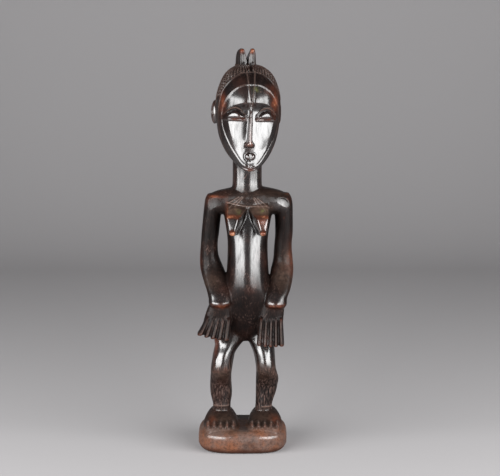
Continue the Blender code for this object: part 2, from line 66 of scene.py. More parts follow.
# %% [markdown]
# ## One unit for the whole figure
#
# A carver lays a figure out as shares of its height. Here the figure is drawn 396 units tall above the
# plinth, and the size of one unit comes from the loaded solid, so every form below follows that solid. The
# plinth keeps sizes of its own. The head sits a little to one side, turned and rolled as one block, so the
# whole head is drawn straight and then placed by one matrix.

# %% Driving sizes and places
PLINTH_HEIGHT = 0.024
PLINTH_WIDTH = 0.093
PLINTH_DEPTH = 0.084
PLINTH_SQUARENESS = 3.4
PLINTH_FOOT_ROUND = 0.009
PLINTH_TOP_ROUND = 0.008
UNITS_TALL = 395.64
UNIT = (cad_high.z - PLINTH_HEIGHT) / UNITS_TALL

BODY_X = 5.5
HEAD_X, HEAD_HEIGHT = 5.4, 326
HEAD_TURN = math.radians(6.5)
HEAD_ROLL = math.radians(1.8)
FACE_SHIFT = -0.7
CREST_X = 4.2
EAR_BACK, EAR_HEIGHT, EAR_SIZE = 13, 329, (4.5, 7.5, 12.8)
LEFT_FOOT_X, RIGHT_FOOT_X = -22.8, 23.3


def turned_about(centre, angle, axis):
    there = Matrix.Translation(centre)
    return there @ Matrix.Rotation(angle, 4, axis) @ there.inverted()


HEAD_PLACE = (
    turned_about((HEAD_X, 0, HEAD_HEIGHT), HEAD_ROLL, "Y")
    @ turned_about((HEAD_X, 0, 0), HEAD_TURN, "Z")
    @ Matrix.Translation((HEAD_X, 0, 0))
)
print("one unit is", round(1000 * UNIT, 4), "mm")

# %% [markdown]
# ## A form from a few sections
#
# Each limb can be told in a handful of oval sections, the way a carver marks widths on the block. One way
# is a loft. Here each form starts as a sphere, and its latitudes are pushed onto the sections, which
# Catmull-Rom curves run smoothly through. That always gives a closed form with neat ends. A section has its
# place along the form, two centre values, a half width, and how far it reaches each way in depth. The
# squareness is 2 for an oval and more for a squarer section.

# %% The section form
AROUND, ALONG = 64, 96


def mesh_points(mesh):
    points = np.empty(len(mesh.vertices) * 3)
    mesh.vertices.foreach_get("co", points)
    return points.reshape(-1, 3)


def set_mesh_points(mesh, points):
    mesh.vertices.foreach_set("co", points.ravel())
    mesh.update()


def as_mesh(bm, name):
    mesh = bpy.data.meshes.new(name)
    bm.to_mesh(mesh)
    bm.free()
    return mesh


def smooth_rows(rows, places):
    """Catmull-Rom values of the rows at places between 0 and 1."""
    rows = np.array(rows, float)
    padded = np.vstack([2 * rows[0] - rows[1], rows, 2 * rows[-1] - rows[-2]])
    at = np.clip(places, 0, 1) * (len(rows) - 1)
    first = np.minimum(at.astype(int), len(rows) - 2)
    t = (at - first)[:, None]
    a, b, c, d = (padded[first + k] for k in range(4))
    return 0.5 * (2 * b + (c - a) * t + (2 * a - 5 * b + 4 * c - d) * t**2 + (3 * b - a - 3 * c + d) * t**3)


def oval_form(rows, axis="Z", squareness=2.0, mirrored=False):
    bm = bmesh.new()
    bmesh.ops.create_uvsphere(bm, u_segments=AROUND, v_segments=ALONG, radius=1)
    mesh = as_mesh(bm, "form")
    sphere = mesh_points(mesh)
    along = np.arccos(np.clip(sphere[:, 2], -1, 1)) / math.pi
    angle = np.arctan2(sphere[:, 1], sphere[:, 0])
    on_side = np.hypot(sphere[:, 0], sphere[:, 1]) > 1e-4
    across, depth = np.cos(angle) * on_side, np.sin(angle) * on_side
    power = 2 / squareness
    across = np.sign(across) * np.abs(across) ** power
    depth = np.sign(depth) * np.abs(depth) ** power
    place, centre_a, centre_b, half, low, high = smooth_rows(rows, along).T
    a = (centre_a + across * half) * (-1 if mirrored else 1)
    b = centre_b + depth * np.where(depth < 0, low, high)
    columns = {"Z": (a, b, place), "Y": (a, place, b), "X": (place, a, b)}[axis]
    set_mesh_points(mesh, np.stack(columns, axis=1))
    return mesh


def moved(mesh, matrix):
    mesh.transform(matrix)
    return mesh


def ellipsoid(centre, radii):
    bm = bmesh.new()
    bmesh.ops.create_uvsphere(bm, u_segments=32, v_segments=24, radius=1)
    bmesh.ops.scale(bm, vec=radii, verts=bm.verts)
    bmesh.ops.translate(bm, vec=centre, verts=bm.verts)
    return as_mesh(bm, "ellipsoid")


print("each loft has", AROUND * (ALONG - 1) + 2, "points")

# %% [markdown]
# ## Torso, shoulders and neck
#
# The body is a long column that swells at the belly and draws in above the thighs. The shoulders are one
# form laid across it, and the neck a straight post. Separate overlapping forms are easier to steer than one
# mesh, and they get fused later.

# %% The trunk's sections
TORSO = (
    (89, 4.0, 2, 8, 8, 10),
    (97, 4.4, 2, 17, 15, 15),
    (108, 5.0, 2, 27, 22, 18),
    (120, 5.3, 1, 30, 26.5, 19),
    (138, 5.3, 0, 27.5, 29.5, 18),
    (152, 5.3, -1, 23.5, 29.5, 15.5),
    (175, 5.3, 0, 21.3, 26, 13),
    (200, 5.3, 1, 21.3, 22, 14),
    (222, 5.5, 2, 25, 19, 16),
    (238, 6.0, 2, 29, 18, 16),
    (248, 6.3, 2, 26, 14, 14),
    (253, 6.5, 2, 16, 8, 10),
)
YOKE = (
    (-37.5, 2, 233, 9, 8, 8),
    (-32, 2, 235.5, 12, 12, 10.5),
    (-20, 2, 237, 14, 13.5, 13),
    (6, 2, 238, 17, 14, 16),
    (30, 2, 237.5, 14.5, 14, 13.5),
    (44, 2, 235.5, 12.5, 12, 11),
    (50.5, 2, 232.5, 9, 8, 8),
)
NECK = (
    (240, 5.0, 3, 18, 16, 16),
    (251, 4.9, 3, 15.8, 15.5, 15),
    (262, 4.9, 3, 15.2, 15, 15),
    (280, 5.0, 2.5, 15.2, 15, 15),
    (300, 5.5, 0, 15.5, 15, 16),
)
BUTTOCK, BUTTOCK_SIZE = (12, 16, 107), (14, 12.5, 17)
SHOULDER_BLADE, SHOULDER_BLADE_SIZE = (13, 12, 224), (12, 7.5, 17)


def trunk_forms():
    forms = [
        oval_form(TORSO, squareness=2.2),
        oval_form(YOKE, axis="X", squareness=2.4),
        oval_form(NECK, squareness=2.3),
    ]
    for side in (-1, 1):
        x, y, z = BUTTOCK
        forms.append(ellipsoid((BODY_X + side * x, y, z), BUTTOCK_SIZE))
        x, y, z = SHOULDER_BLADE
        forms.append(ellipsoid((BODY_X + side * x, y, z), SHOULDER_BLADE_SIZE))
    return forms


rough_forms = []


def add_forms(part, made):
    rough_forms.extend(made)
    print(f"{part}: {len(made)} forms")


add_forms("trunk", trunk_forms())

# %% [markdown]
# ## Breasts with flat planes
#
# They are cut as prisms: a sloping top plane, a level edge, and a small front plane down to the nipple.
# Sections would round those planes off, so here the corners are named and a convex hull stretches the
# planes between them.

# %% The breast planes
BREAST_CORNERS = (
    (21, -8, 238),
    (21, -17, 235),
    (0.5, -16, 233),
    (21.5, -38, 225),
    (9.6, -40, 223.5),
    (18.8, -43, 211),
    (13.2, -44, 211),
    (18, -42, 206.5),
    (13.6, -42.5, 206.5),
    (20, -10, 204),
    (9, -10, 206),
    (1, -10, 224),
)
NIPPLE, NIPPLE_SIZE = (15.6, -43.5, 208.8), (3.2, 3.4, 2.7)


def hull_of(corners, side):
    bm = bmesh.new()
    for x, y, z in corners:
        bm.verts.new((BODY_X + side * x, y, z))
    hull = bmesh.ops.convex_hull(bm, input=bm.verts[:])
    bmesh.ops.delete(bm, geom=hull["geom_interior"], context="VERTS")
    return as_mesh(bm, "hull")


def breast_forms():
    forms = []
    for side in (-1, 1):
        x, y, z = NIPPLE
        forms.append(hull_of(BREAST_CORNERS, side))
        forms.append(ellipsoid((BODY_X + side * x, y, z), NIPPLE_SIZE))
    return forms


add_forms("breasts", breast_forms())

# %% [markdown]
# ## Arms and hands
#
# Each arm hangs down, bends a little at the elbow and comes forward onto the hip, where it ends in a full
# round wrist. The hand below it spreads like a fan. Its five fingers are separate square-ended forms in a
# loop between the outermost and the innermost, so the fan follows from four numbers a finger.

# %% The arms' and hands' sections
LEFT_ARM = (
    (246, -28, 2, 8, 7, 7),
    (240, -29.3, 2, 9.5, 12, 12),
    (230, -31, 2.5, 9.4, 12.5, 12.5),
    (206, -33.6, 3, 9.2, 11, 11),
    (192, -35, 3.5, 8.9, 10.5, 10.5),
    (181, -35, 4, 9.6, 11, 11),
    (172, -33.4, 3, 11.3, 12, 12),
    (164, -31, -1, 12.6, 12, 12),
    (154, -27.5, -9, 13, 11, 12),
    (145, -24.5, -16, 12.6, 10.5, 12),
    (138, -23, -20, 12.4, 10.5, 12),
    (133, -23, -22, 12, 10.5, 11),
    (129, -23.5, -22, 9, 6, 8),
)
RIGHT_ARM = (
    (247, 40, 2, 8, 7, 7),
    (240, 41.6, 2, 10, 12, 12),
    (230, 42.8, 2.5, 9.8, 12.5, 12.5),
    (206, 43.4, 3, 9.2, 11, 11),
    (190, 42.4, 3.5, 9.2, 10.5, 10.5),
    (176, 42.5, 4, 10.3, 11.5, 11.5),
    (166, 41.5, 0, 11.8, 12, 12),
    (155, 40, -8, 12, 11, 12),
    (146, 37.5, -15, 12.2, 10.5, 12),
    (138, 35, -20, 11.5, 10.5, 12),
    (132, 34.6, -22, 11.5, 10.5, 11),
    (128, 34.4, -22, 9, 6, 8),
)
LEFT_PALM = (
    (136, -22.5, -20, 9, 7, 9),
    (129, -24, -20, 12, 7.5, 9),
    (120, -25.5, -21, 13.5, 7, 9),
    (112, -27, -22, 14, 6, 8),
    (106, -28, -22, 13, 4, 6),
)
RIGHT_PALM = (
    (135, 34, -20, 9, 7, 9),
    (128, 32, -20, 11.5, 7.5, 9),
    (118, 30.2, -21, 12.5, 7, 9),
    (108, 29, -23, 12.8, 6, 8),
    (100, 28.7, -24, 12, 4, 6),
)
LEFT_FINGERS = ((-36.0, 117, -43.6, 101), (-14.6, 116, -17.2, 95.5))
RIGHT_FINGERS = ((39.6, 116, 40.4, 89.5), (19.8, 116, 17.6, 90))
FINGER_COUNT = 5
FINGERTIP_BOW, FINGERTIP_DROP = 3.5, 1.4


def finger_line(hand, share):
    """Root across and up, then tip across and up, at a share of the way from the outer finger inwards."""
    outer, inner = np.array(hand, float)
    return outer * (1 - share) + inner * share


def fingers(hand):
    forms = []
    for share in np.linspace(0, 1, FINGER_COUNT):
        root_x, root, tip_x, tip = finger_line(hand, share)
        tip += FINGERTIP_BOW * (share - 0.5) ** 2 - FINGERTIP_DROP
        half = abs(hand[0][2] - hand[1][2]) / (2 * (FINGER_COUNT - 1))
        rows = (
            (root + 3, root_x, -22, 0.7 * half, 5, 5),
            (root, root_x, -22, 0.85 * half, 7.5, 6),
            (0.5 * (root + tip), 0.5 * (root_x + tip_x), -23, half, 8.5, 7),
            (tip + 1.5, tip_x, -24.5, 1.04 * half, 8.8, 7),
            (tip, tip_x, -24.5, half, 8.3, 6.5),
        )
        forms.append(oval_form(rows, squareness=3))
    return forms


def arm_forms():
    forms = [oval_form(rows, squareness=2.2) for rows in (LEFT_ARM, RIGHT_ARM)]
    forms += [oval_form(rows, squareness=2.8) for rows in (LEFT_PALM, RIGHT_PALM)]
    return forms + fingers(LEFT_FINGERS) + fingers(RIGHT_FINGERS)


add_forms("arms and hands", arm_forms())

# %% [markdown]
# ## Legs, feet and toes
#
# The knees are bent, so the thighs lean forward, the calves swell behind, and the ankles end in a crisp
# line above slab-like feet. A foot runs front to back, so its sections stand across Y instead of Z.

# %% The legs' and feet's sections
LEFT_LEG = (
    (122, -7, 4, 10, 9, 12),
    (108, -11, 4, 15, 14, 19),
    (98, -12.8, 3, 16.4, 15.5, 20.5),
    (90, -14.3, 1, 15.7, 16.5, 20),
    (85, -16, 0, 13.4, 17, 19),
    (78, -19.2, -2, 11.8, 17.5, 17),
    (70, -20.9, -5, 11.4, 16, 15),
    (61, -22.2, -8, 11.2, 13.5, 13.5),
    (54, -22.8, -5, 11, 12.5, 14.5),
    (43, -23.2, 2, 11.4, 12.5, 15),
    (32, -22.7, 2, 11.4, 12, 13),
    (21, -22.2, 0, 9.3, 11, 10),
    (8, -22.2, 0, 10, 11, 11),
)
RIGHT_LEG = (
    (122, 16, 4, 10, 9, 12),
    (108, 18.5, 4, 15, 14, 19),
    (98, 19.4, 3, 15.8, 15.5, 20.5),
    (90, 19.8, 1, 14, 16.5, 20),
    (85, 20.9, 0, 12.6, 17, 19),
    (76, 22.9, -3, 11.2, 17, 17),
    (62, 24.7, -8, 10.4, 13.5, 13.5),
    (50, 26, -2, 11.9, 12.5, 15),
    (42, 25.5, 2, 11.6, 12.5, 15),
    (35, 24.8, 2, 10.8, 12, 13),
    (21, 22.3, 0, 8.8, 11, 10),
    (8, 22.3, 0, 10, 11, 11),
)
FOOT = (
    (26, 0, 0, 8, 4, 9),
    (21, 0, 0, 12.5, 4, 15),
    (10, 0, 0, 16, 4, 18.5),
    (-2, 0, 0, 18.2, 4, 18),
    (-13, 0, 0, 19, 4, 14.5),
    (-23, 0, 0, 18, 4, 9.5),
    (-28, 0, 0, 16.5, 4, 6.5),
    (-32, 0, 0, 14.5, 4, 4),
    (-34, 0, 0, 12, 4, 3),
)
TOE_SPREAD, TOE_FRONT, TOE_TURN, TOE_HEIGHT, TOE_SIZE = 6.6, 27.5, 0.8, 4.0, (2.9, 7.8, 4.6)


def leg_forms():
    forms = [oval_form(rows, squareness=2.2) for rows in (LEFT_LEG, RIGHT_LEG)]
    for foot_x in (LEFT_FOOT_X, RIGHT_FOOT_X):
        forms.append(moved(oval_form(FOOT, axis="Y", squareness=2.2), Matrix.Translation((foot_x, 0, 0))))
        for place in range(-2, 3):
            centre = (foot_x + place * TOE_SPREAD, TOE_TURN * place**2 - TOE_FRONT, TOE_HEIGHT)
            forms.append(ellipsoid(centre, TOE_SIZE))
    return forms


add_forms("legs and feet", leg_forms())

# %% [markdown]
# ## Head, ears and split crest
#
# The head is an egg with a long jaw that juts forward over the neck. On top stands a crest cut into two
# lobes. Each lobe's inner side is cut back towards its top, so that a notch opens between them. A low web
# joins them underneath. The ears are set by the head's own width.

# %% The head's sections
HEAD = (
    (379, 0, 1, 6, 6, 7),
    (377, 0, 1, 14, 14, 16),
    (371, 0, 1, 22.5, 24, 26),
    (362, 0, 0, 28, 31.5, 32),
    (348, 0, 0, 32.3, 37.5, 35.5),
    (334, 0, 0, 33.1, 40, 35.5),
    (318, 0, 0, 31.8, 41, 32),
    (304, 0, -3, 29.2, 37.5, 27),
    (290, 0, -10, 23, 30.5, 26),
    (280, 0, -19, 15.3, 21.8, 20),
    (274, 0, -27, 8.5, 12.5, 14),
    (272, 0, -30, 5, 8, 9),
)
HEAD_SQUARENESS = 2.15
CREST_LOBE = (
    (-12.6, 4.3, 381, 3.6, 12, 14.2),
    (-6, 4.7, 381, 4.1, 12, 15),
    (4, 5.3, 380, 4.9, 12, 14.5),
    (14, 5.2, 377, 4.7, 12, 12.5),
    (22, 4.3, 372, 4.2, 12, 9),
)
NOTCH_FOOT, NOTCH_TOP, NOTCH_SHARE = 382, 393, 0.2
CREST_WEB, CREST_WEB_SIZE = (CREST_X, 2, 375.5), (3.5, 13, 6.5)


def eased(value, low, high):
    """0 up to low, 1 from high, and a smooth step between."""
    t = np.clip((value - low) / (high - low), 0, 1)
    return t * t * (3 - 2 * t)


def crest_lobe(side):
    """One lobe, with its inner side cut back towards the top to open the notch."""
    lobe = oval_form(CREST_LOBE, axis="Y", squareness=3.2, mirrored=side < 0)
    points = mesh_points(lobe)
    places, centres, _, halves, _, _ = np.array(CREST_LOBE).T
    outer = side * np.interp(points[:, 1], places, centres + halves)
    points[:, 0] -= (points[:, 0] - outer) * NOTCH_SHARE * eased(points[:, 2], NOTCH_FOOT, NOTCH_TOP)
    set_mesh_points(lobe, points)
    return lobe


def head_half(height):
    """Half the head's width at a height."""
    places, _, _, halves, _, _ = np.array(HEAD).T[:, ::-1]
    return float(np.interp(height, places, halves))


def head_forms():
    forms = [moved(oval_form(HEAD, squareness=HEAD_SQUARENESS), HEAD_PLACE)]
    for side in (-1, 1):
        lobe = crest_lobe(side)
        forms.append(moved(lobe, Matrix.Translation((CREST_X, 0, 0)) @ Matrix.Rotation(HEAD_TURN, 4, "Z")))
        ear = ellipsoid((side * head_half(EAR_HEIGHT), EAR_BACK, EAR_HEIGHT), EAR_SIZE)
        forms.append(moved(ear, HEAD_PLACE))
    forms.append(ellipsoid(CREST_WEB, CREST_WEB_SIZE))
    return forms


add_forms("head, ears and crest", head_forms())

# %% [markdown]
# ## The plinth
#
# A low cushion with a rounded foot and a rounded top edge. Its sections come from two quarter turns, one
# for each rounding, so the profile follows the named sizes.

# %% The plinth's sections
SINK = 0.003
PLINTH_TURN_STEPS = 6


def plinth_row(height, inset):
    half_width, half_depth = PLINTH_WIDTH / 2 - inset, PLINTH_DEPTH / 2 - inset
    return (height, 0, 0, half_width, half_depth, half_depth)


def plinth_form():
    rows = [plinth_row(-SINK, PLINTH_FOOT_ROUND)]
    turns = [math.pi / 2 * step / PLINTH_TURN_STEPS for step in range(PLINTH_TURN_STEPS + 1)]
    for turn in turns:
        rise = PLINTH_FOOT_ROUND * (1 - math.cos(turn))
        rows.append(plinth_row(rise, PLINTH_FOOT_ROUND * (1 - math.sin(turn))))
    for turn in turns:
        rise = PLINTH_HEIGHT - PLINTH_TOP_ROUND * (1 - math.sin(turn))
        rows.append(plinth_row(rise, PLINTH_TOP_ROUND * (1 - math.cos(turn))))
    return oval_form(rows[::-1], squareness=PLINTH_SQUARENESS)


plinth = plinth_form()
plinth_size = np.ptp(mesh_points(plinth), axis=0) * 1000
print("plinth", np.round(plinth_size, 1), "mm with the part that is cut off below")

# %% [markdown]
# ## One skin over all the forms
#
# A block of wood has no seams where an arm meets a shoulder. The Voxel Remesh modifier wraps all the
# overlapping forms in one even skin, and the Smooth modifier eases the inner corners as a blade and
# sandpaper would. Booleans would keep the seams sharp and often fail on so many overlaps.

# %% Fuse the forms
SKIN_GRAIN = 0.6 * UNIT
SOFTENING = 18


def as_object(mesh):
    obj = bpy.data.objects.new("rough_block", mesh)
    bpy.context.scene.collection.objects.link(obj)
    return obj


def applied(obj):
    """A copy of the object's mesh with its modifiers on it. The object itself is removed."""
    graph = bpy.context.evaluated_depsgraph_get()
    graph.update()
    result = bpy.data.meshes.new_from_object(obj.evaluated_get(graph))
    bpy.data.objects.remove(obj, do_unlink=True)
    return result


def fused(mesh, grain, softening):
    obj = as_object(mesh)
    remesh = obj.modifiers.new("fuse", "REMESH")
    remesh.mode = "VOXEL"
    remesh.voxel_size = grain
    soften = obj.modifiers.new("soften", "SMOOTH")
    soften.factor = 0.5
    soften.iterations = softening
    return applied(obj)


def joined_forms():
    to_metres = Matrix.Translation((0, 0, PLINTH_HEIGHT)) @ Matrix.Scale(UNIT, 4)
    bm = bmesh.new()
    for mesh in rough_forms:
        bm.from_mesh(moved(mesh, to_metres))
        bpy.data.meshes.remove(mesh)
    bm.from_mesh(plinth)
    bpy.data.meshes.remove(plinth)
    bmesh.ops.recalc_face_normals(bm, faces=bm.faces)
    return as_mesh(bm, "forms")


block = fused(joined_forms(), SKIN_GRAIN, SOFTENING)
print("fused skin", len(block.vertices), "vertices")

# %% [markdown]
# ## Carving by moving the skin
#
# The face could be modelled face by face, but a carver cuts it into the finished egg of the head. So does
# this: every vertex on the head's front is moved forward or back by a sum of plain shapes. The planes of
# the cheeks come first, then eyes, nose and mouth. Their heights and reaches are named values.

# %% Tools for carving
def along_table(table, at):
    places, values = np.array(table, float).T
    return np.interp(at, places, values)


def smooth_table(table, at):
    """The table's values at these places, along a curve without corners."""
    curve = smooth_rows(table, np.linspace(0, 1, 40 * len(table)))
    return np.interp(at, curve[:, 0], curve[:, 1])


def bump(distance, reach):
    return np.exp(-((distance / reach) ** 2))


def distance_to(points, line):
    """Each point's distance from a line drawn through its corners in order."""
    nearest = np.full(len(points), np.inf)
    for start, end in zip(line, line[1:]):
        run = end - start
        share = np.clip((points - start) @ run / (run @ run), 0, 1)
        np.minimum(nearest, np.linalg.norm(points - start - share[:, None] * run, axis=1), out=nearest)
    return nearest


def soft_noise(points, size, seed):
    """Seeded noise from -1 to 1 with lumps about this size across, which may differ along each axis."""
    table = np.random.default_rng(seed).uniform(-1, 1, (32, 32, 32))
    at = points / size + 512
    cell = np.floor(at).astype(int)
    part = at - cell
    part = part * part * (3 - 2 * part)
    value = np.zeros(len(points))
    for corner in itertools.product((0, 1), repeat=3):
        weight = np.prod(np.where(corner, part, 1 - part), axis=1)
        value += weight * table[tuple(((cell + corner) % 32).T)]
    return value


print("a bump falls to", round(float(bump(1.0, 1.0)), 2), "of its height at its reach")

# %% [markdown]
# ## Flat cheeks under the brow
#
# Two flat cheeks meet at the nose like the sides of a boat's bow, and they sit back under an arched brow. A
# boolean cut would leave hard steps all round. Here the skin is pressed back to the planes, and it runs out
# softly towards their rim. The tables give a height first and then how wide or how far forward.

# %% Carve the cheeks
CHEEK_REACH = ((275, 0), (277, 4), (284, 9.3), (294.6, 16.4), (310, 22), (324.7, 26), (334, 28), (346, 28))
FACE_DEPTH = (
    (272, 38.5), (280, 40), (290, 39.3), (304, 38.3), (318, 37.5), (324, 36.8),
    (331, 35.9), (335, 36.1), (339, 37.6), (343, 39.6), (347, 41.5),
)
BROW_ARCH, BROW_END, BROW_RISE = 5.0, 27, (324, 336)
CHEEK_TOP, CHEEK_SLOPE, CHEEK_EDGE = 347, 0.72, (-1, 1.6)
CHEEK_ROUND = ((286, 13), (294, 14), (306, 22), (310, 23))
CHEEK_FILL, CHEEK_FILL_END = 0.6, (318, 330)


def carve_planes(u, v, w, ahead):
    """u runs across the face, v up and w forward. The skin may also come forward, by the fill."""
    side = np.abs(u)
    arched = v + BROW_ARCH * (side / BROW_END) ** 2 * eased(v, *BROW_RISE)
    rounding = along_table(CHEEK_ROUND, v)
    plane = smooth_table(FACE_DEPTH, arched) - CHEEK_SLOPE * (np.sqrt(u**2 + rounding**2) - rounding)
    inside = eased(along_table(CHEEK_REACH, v) - side, *CHEEK_EDGE) * (arched < CHEEK_TOP) * ahead
    most = CHEEK_FILL * (1 - eased(v, *CHEEK_FILL_END))
    return w + inside * np.minimum(plane - w, most)


print("the cheeks reach", max(reach for _, reach in CHEEK_REACH), "units to each side")

# %% [markdown]
# ## Almond eyes between lids
#
# Each eye is a lens with a swollen lid all round it, a globe inside and a ledge below. One function tells
# how far out of a lens a point lies. It serves the whole eye, the globe and, later, the thin lines of the
# lids.

# %% Carve the eyes
EYE_SPREAD, EYE_HEIGHT, EYE_REACH, EYE_RISE, EYE_FALL = 16.3, 326.4, 12.2, 9.6, 1.0
LID_BULGE, LID_RIM = 1.2, (0.8, 1.15)
BALL_SHARE, BALL_LENGTH, BALL_BULGE, BALL_FLATNESS = 0.70, 0.66, 3.0, 2.3
LEDGE_DROP, LEDGE_WIDTH, LEDGE_BULGE = 2.2, 1.0, 1.5


def lens_share(across, above, rise, fall):
    """How far out of a lens outline a point lies, 1 being on it, and the lens's own height there."""
    lens = np.clip(1 - across**2, 0, 1)
    tall = 0.5 * (rise + fall) * lens + 0.25
    return np.abs(above - 0.5 * (rise - fall) * lens) / tall, lens


def eye_shares(u, v):
    across, above = (np.abs(u) - EYE_SPREAD) / EYE_REACH, v - EYE_HEIGHT
    whole, lens = lens_share(across, above, EYE_RISE, EYE_FALL)
    ball, inner = lens_share(across / BALL_LENGTH, above, BALL_SHARE * EYE_RISE, EYE_FALL)
    return lens, inner, whole, ball


def carve_eyes(u, v, w, ahead):
    lens, inner, whole, ball = eye_shares(u, v)
    lid = LID_BULGE * (1 - eased(whole, *LID_RIM)) * eased(lens, 0, 0.4)
    globe = BALL_BULGE * np.clip(1 - ball**BALL_FLATNESS, 0, 1) ** 0.6 * inner**0.5
    ledge = LEDGE_BULGE * bump(v - EYE_HEIGHT + LEDGE_DROP, LEDGE_WIDTH) * eased(lens, 0, 0.25)
    return w + (lid + globe + ledge) * ahead


print("each eye is", 2 * EYE_REACH, "units wide and its globe", round(2 * EYE_REACH * BALL_LENGTH, 1))

# %% [markdown]
# ## Nose, mouth and chin
#
# A thin straight nose widens at the nostrils, and below it stands a small round mouth with a cleft. They are
# swellings on the cheeks' planes. The nose's height and width follow a table each, and the mouth is a dome
# over an oval, with a thin groove round it.

# %% Carve the nose and the mouth
NOSE_HEIGHT = ((296.3, 0), (297.6, 6), (300, 7.6), (308, 6.6), (331, 4), (337, 1.5), (340, 0))
NOSE_REACH = ((297, 5.2), (299.5, 5.7), (301.5, 3.5), (304, 2.5), (320, 2.2), (337, 1.8))
NOSE_FOOT, NOSE_ROOT, NOSE_TOP = 296, 337, 340
NOSE_TILT, NOSE_LEAN, NOSE_SQUARENESS = 0.2, 0.035, 2.6
MOUTH_HEIGHT, MOUTH_REACH, MOUTH_RISE, MOUTH_BULGE = 287.3, 5.4, 3.9, 2.6
CLEFT_DEPTH, CLEFT_INNER, CLEFT_OUTER, CLEFT_SPREAD = 0.8, 0.3, 0.9, 0.45
GROOVE_DEPTH, GROOVE_PLACE, GROOVE_WIDTH = 0.6, 1.1, 0.12
CHIN_RIDGE, CHIN_WIDTH, CHIN_FOOT, CHIN_TOP = 0.9, 1.1, (273.5, 276), (281, 284)


def carve_nose_and_mouth(u, v, w, ahead):
    lean = u + NOSE_LEAN * (NOSE_ROOT - v)
    across = np.clip(np.abs(lean) / along_table(NOSE_REACH, v), 0, 1)
    nose = along_table(NOSE_HEIGHT, v) * (v > NOSE_FOOT) * (v < NOSE_TOP) * (1 - across**NOSE_SQUARENESS)
    nose -= NOSE_TILT * lean * (1 - across**2) * eased(nose, 0.5, 2)
    out = np.hypot(u / MOUTH_REACH, (v - MOUTH_HEIGHT) / MOUTH_RISE)
    cleft_end = CLEFT_OUTER + CLEFT_SPREAD * np.clip(v - MOUTH_HEIGHT + 3, 0, None)
    cleft = 1 - eased(np.abs(u), CLEFT_INNER, cleft_end)
    mouth = MOUTH_BULGE * np.sqrt(1 - np.clip(out, 0, 1) ** 2) * (1 - CLEFT_DEPTH * cleft)
    groove = GROOVE_DEPTH * bump(out - GROOVE_PLACE, GROOVE_WIDTH)
    chin = CHIN_RIDGE * bump(u, CHIN_WIDTH) * eased(v, *CHIN_FOOT) * (1 - eased(v, *CHIN_TOP))
    return w + (nose + mouth + chin - groove) * ahead


def carve_face(points):
    u, v, w = points[:, 0] - FACE_SHIFT, points[:, 2], -points[:, 1]
    ahead = w > 0
    for carve in (carve_planes, carve_eyes, carve_nose_and_mouth):
        w = carve(u, v, w, ahead)
    return np.stack([points[:, 0], -w, v], axis=1)


print("the nose stands", max(height for _, height in NOSE_HEIGHT), "units off the cheeks")

# %% [markdown]
# ## Raised lines, parting and ears
#
# A thin raised line runs over the forehead and round the jaw, with a second one inside it, and a double
# ridge comes down from the hair to the nose. Each line is a short table of points laid on the bare head, and
# the skin swells where it comes near the line. The ears get a hollow.

# %% Carve the head's lines
PARTING_TOP, PARTING_FOOT, PARTING_REACH = 371, 337, 3.6
HAIRLINE_LIFT, HAIRLINE_WIDTH = 0.85, 0.75
FACE_RIM_LIFT, FACE_RIM_WIDTH = 0.7, 0.72
EAR_HOLLOW = 2.4
HAIRLINE = (
    (0, 372), (10, 370.5), (20, 364), (27, 355), (30.5, 345), (31.6, 332),
    (30.8, 318), (28, 304), (22.8, 291.5), (15.5, 281.5), (8.5, 275.5), (0, 272.5),
)
FACE_RIM = (
    (0, 360), (9, 359), (18, 354), (24.5, 346), (28.3, 336), (29, 326),
    (27, 313), (21.4, 299), (14.5, 287.5), (8, 279), (0, 275.3),
)


def head_front(across, height):
    """How far forward the bare head form reaches."""
    place, _, centre, half, low, _ = smooth_rows(HEAD, np.linspace(0, 1, 200)).T[:, ::-1]
    centre, half, low = (np.interp(height, place, column) for column in (centre, half, low))
    share = np.clip(np.abs(across) / half, 0, 1)
    return low * (1 - share**HEAD_SQUARENESS) ** (1 / HEAD_SQUARENESS) - centre


def head_line(table):
    across, height = smooth_rows(table, np.linspace(0, 1, 60)).T
    front = head_front(across, height)
    half = np.stack([across, -front, height], axis=1)
    return np.vstack([half[:0:-1] * (-1, 1, 1), half])


def hollow_ears(points, normals):
    ear = np.hypot((points[:, 1] - EAR_BACK + 1.5) / 4, (points[:, 2] - EAR_HEIGHT) / 8)
    depth = EAR_HOLLOW * (1 - eased(ear, 0.4, 1)) * (np.abs(points[:, 0]) > head_half(EAR_HEIGHT) + 0.3)
    return points - normals * depth[:, None]


def rim_lines(local):
    """How far the thin raised lines round hair and face stand up, and the parting between two ridges."""
    lift = HAIRLINE_LIFT * bump(distance_to(local, head_line(HAIRLINE)), HAIRLINE_WIDTH)
    lift += FACE_RIM_LIFT * bump(distance_to(local, head_line(FACE_RIM)), FACE_RIM_WIDTH)
    u, v = np.abs(local[:, 0] - FACE_SHIFT), local[:, 2]
    half = 0.5 + PARTING_REACH * np.clip((v - PARTING_FOOT) / (PARTING_TOP - PARTING_FOOT), 0, 1)
    on_parting = eased(v, PARTING_FOOT, PARTING_FOOT + 3) * (1 - eased(v, PARTING_TOP, PARTING_TOP + 2))
    parting = 0.8 * bump(u - half, 0.8) - 0.4 * bump(u - half - 1.7, 0.9) - 0.6 * bump(u, 0.55 * half)
    return lift + parting * on_parting * (local[:, 1] < 0)


for line_name, line_table in (("hairline", HAIRLINE), ("face rim", FACE_RIM)):
    steps = np.diff(head_line(line_table), axis=0)
    print(line_name, "is", round(float(np.linalg.norm(steps, axis=1).sum())), "units long")

# %% [markdown]
# ## Fingers and spine
#
# Four grooves part the five fingers from the knuckles to the tips. The back is plainer than the front:
# a shallow groove runs down the spine.

# %% Carve the hands and the back
FINE_GRAIN = 0.5 * UNIT
FINGER_KNUCKLE, FINGER_GROOVE, FINGER_GROOVE_WIDTH = 4, 1.5, 1.1
SPINE_FOOT, SPINE_TOP, SPINE_DEPTH, SPINE_WIDTH = (112, 124), (232, 240), 1.6, 3


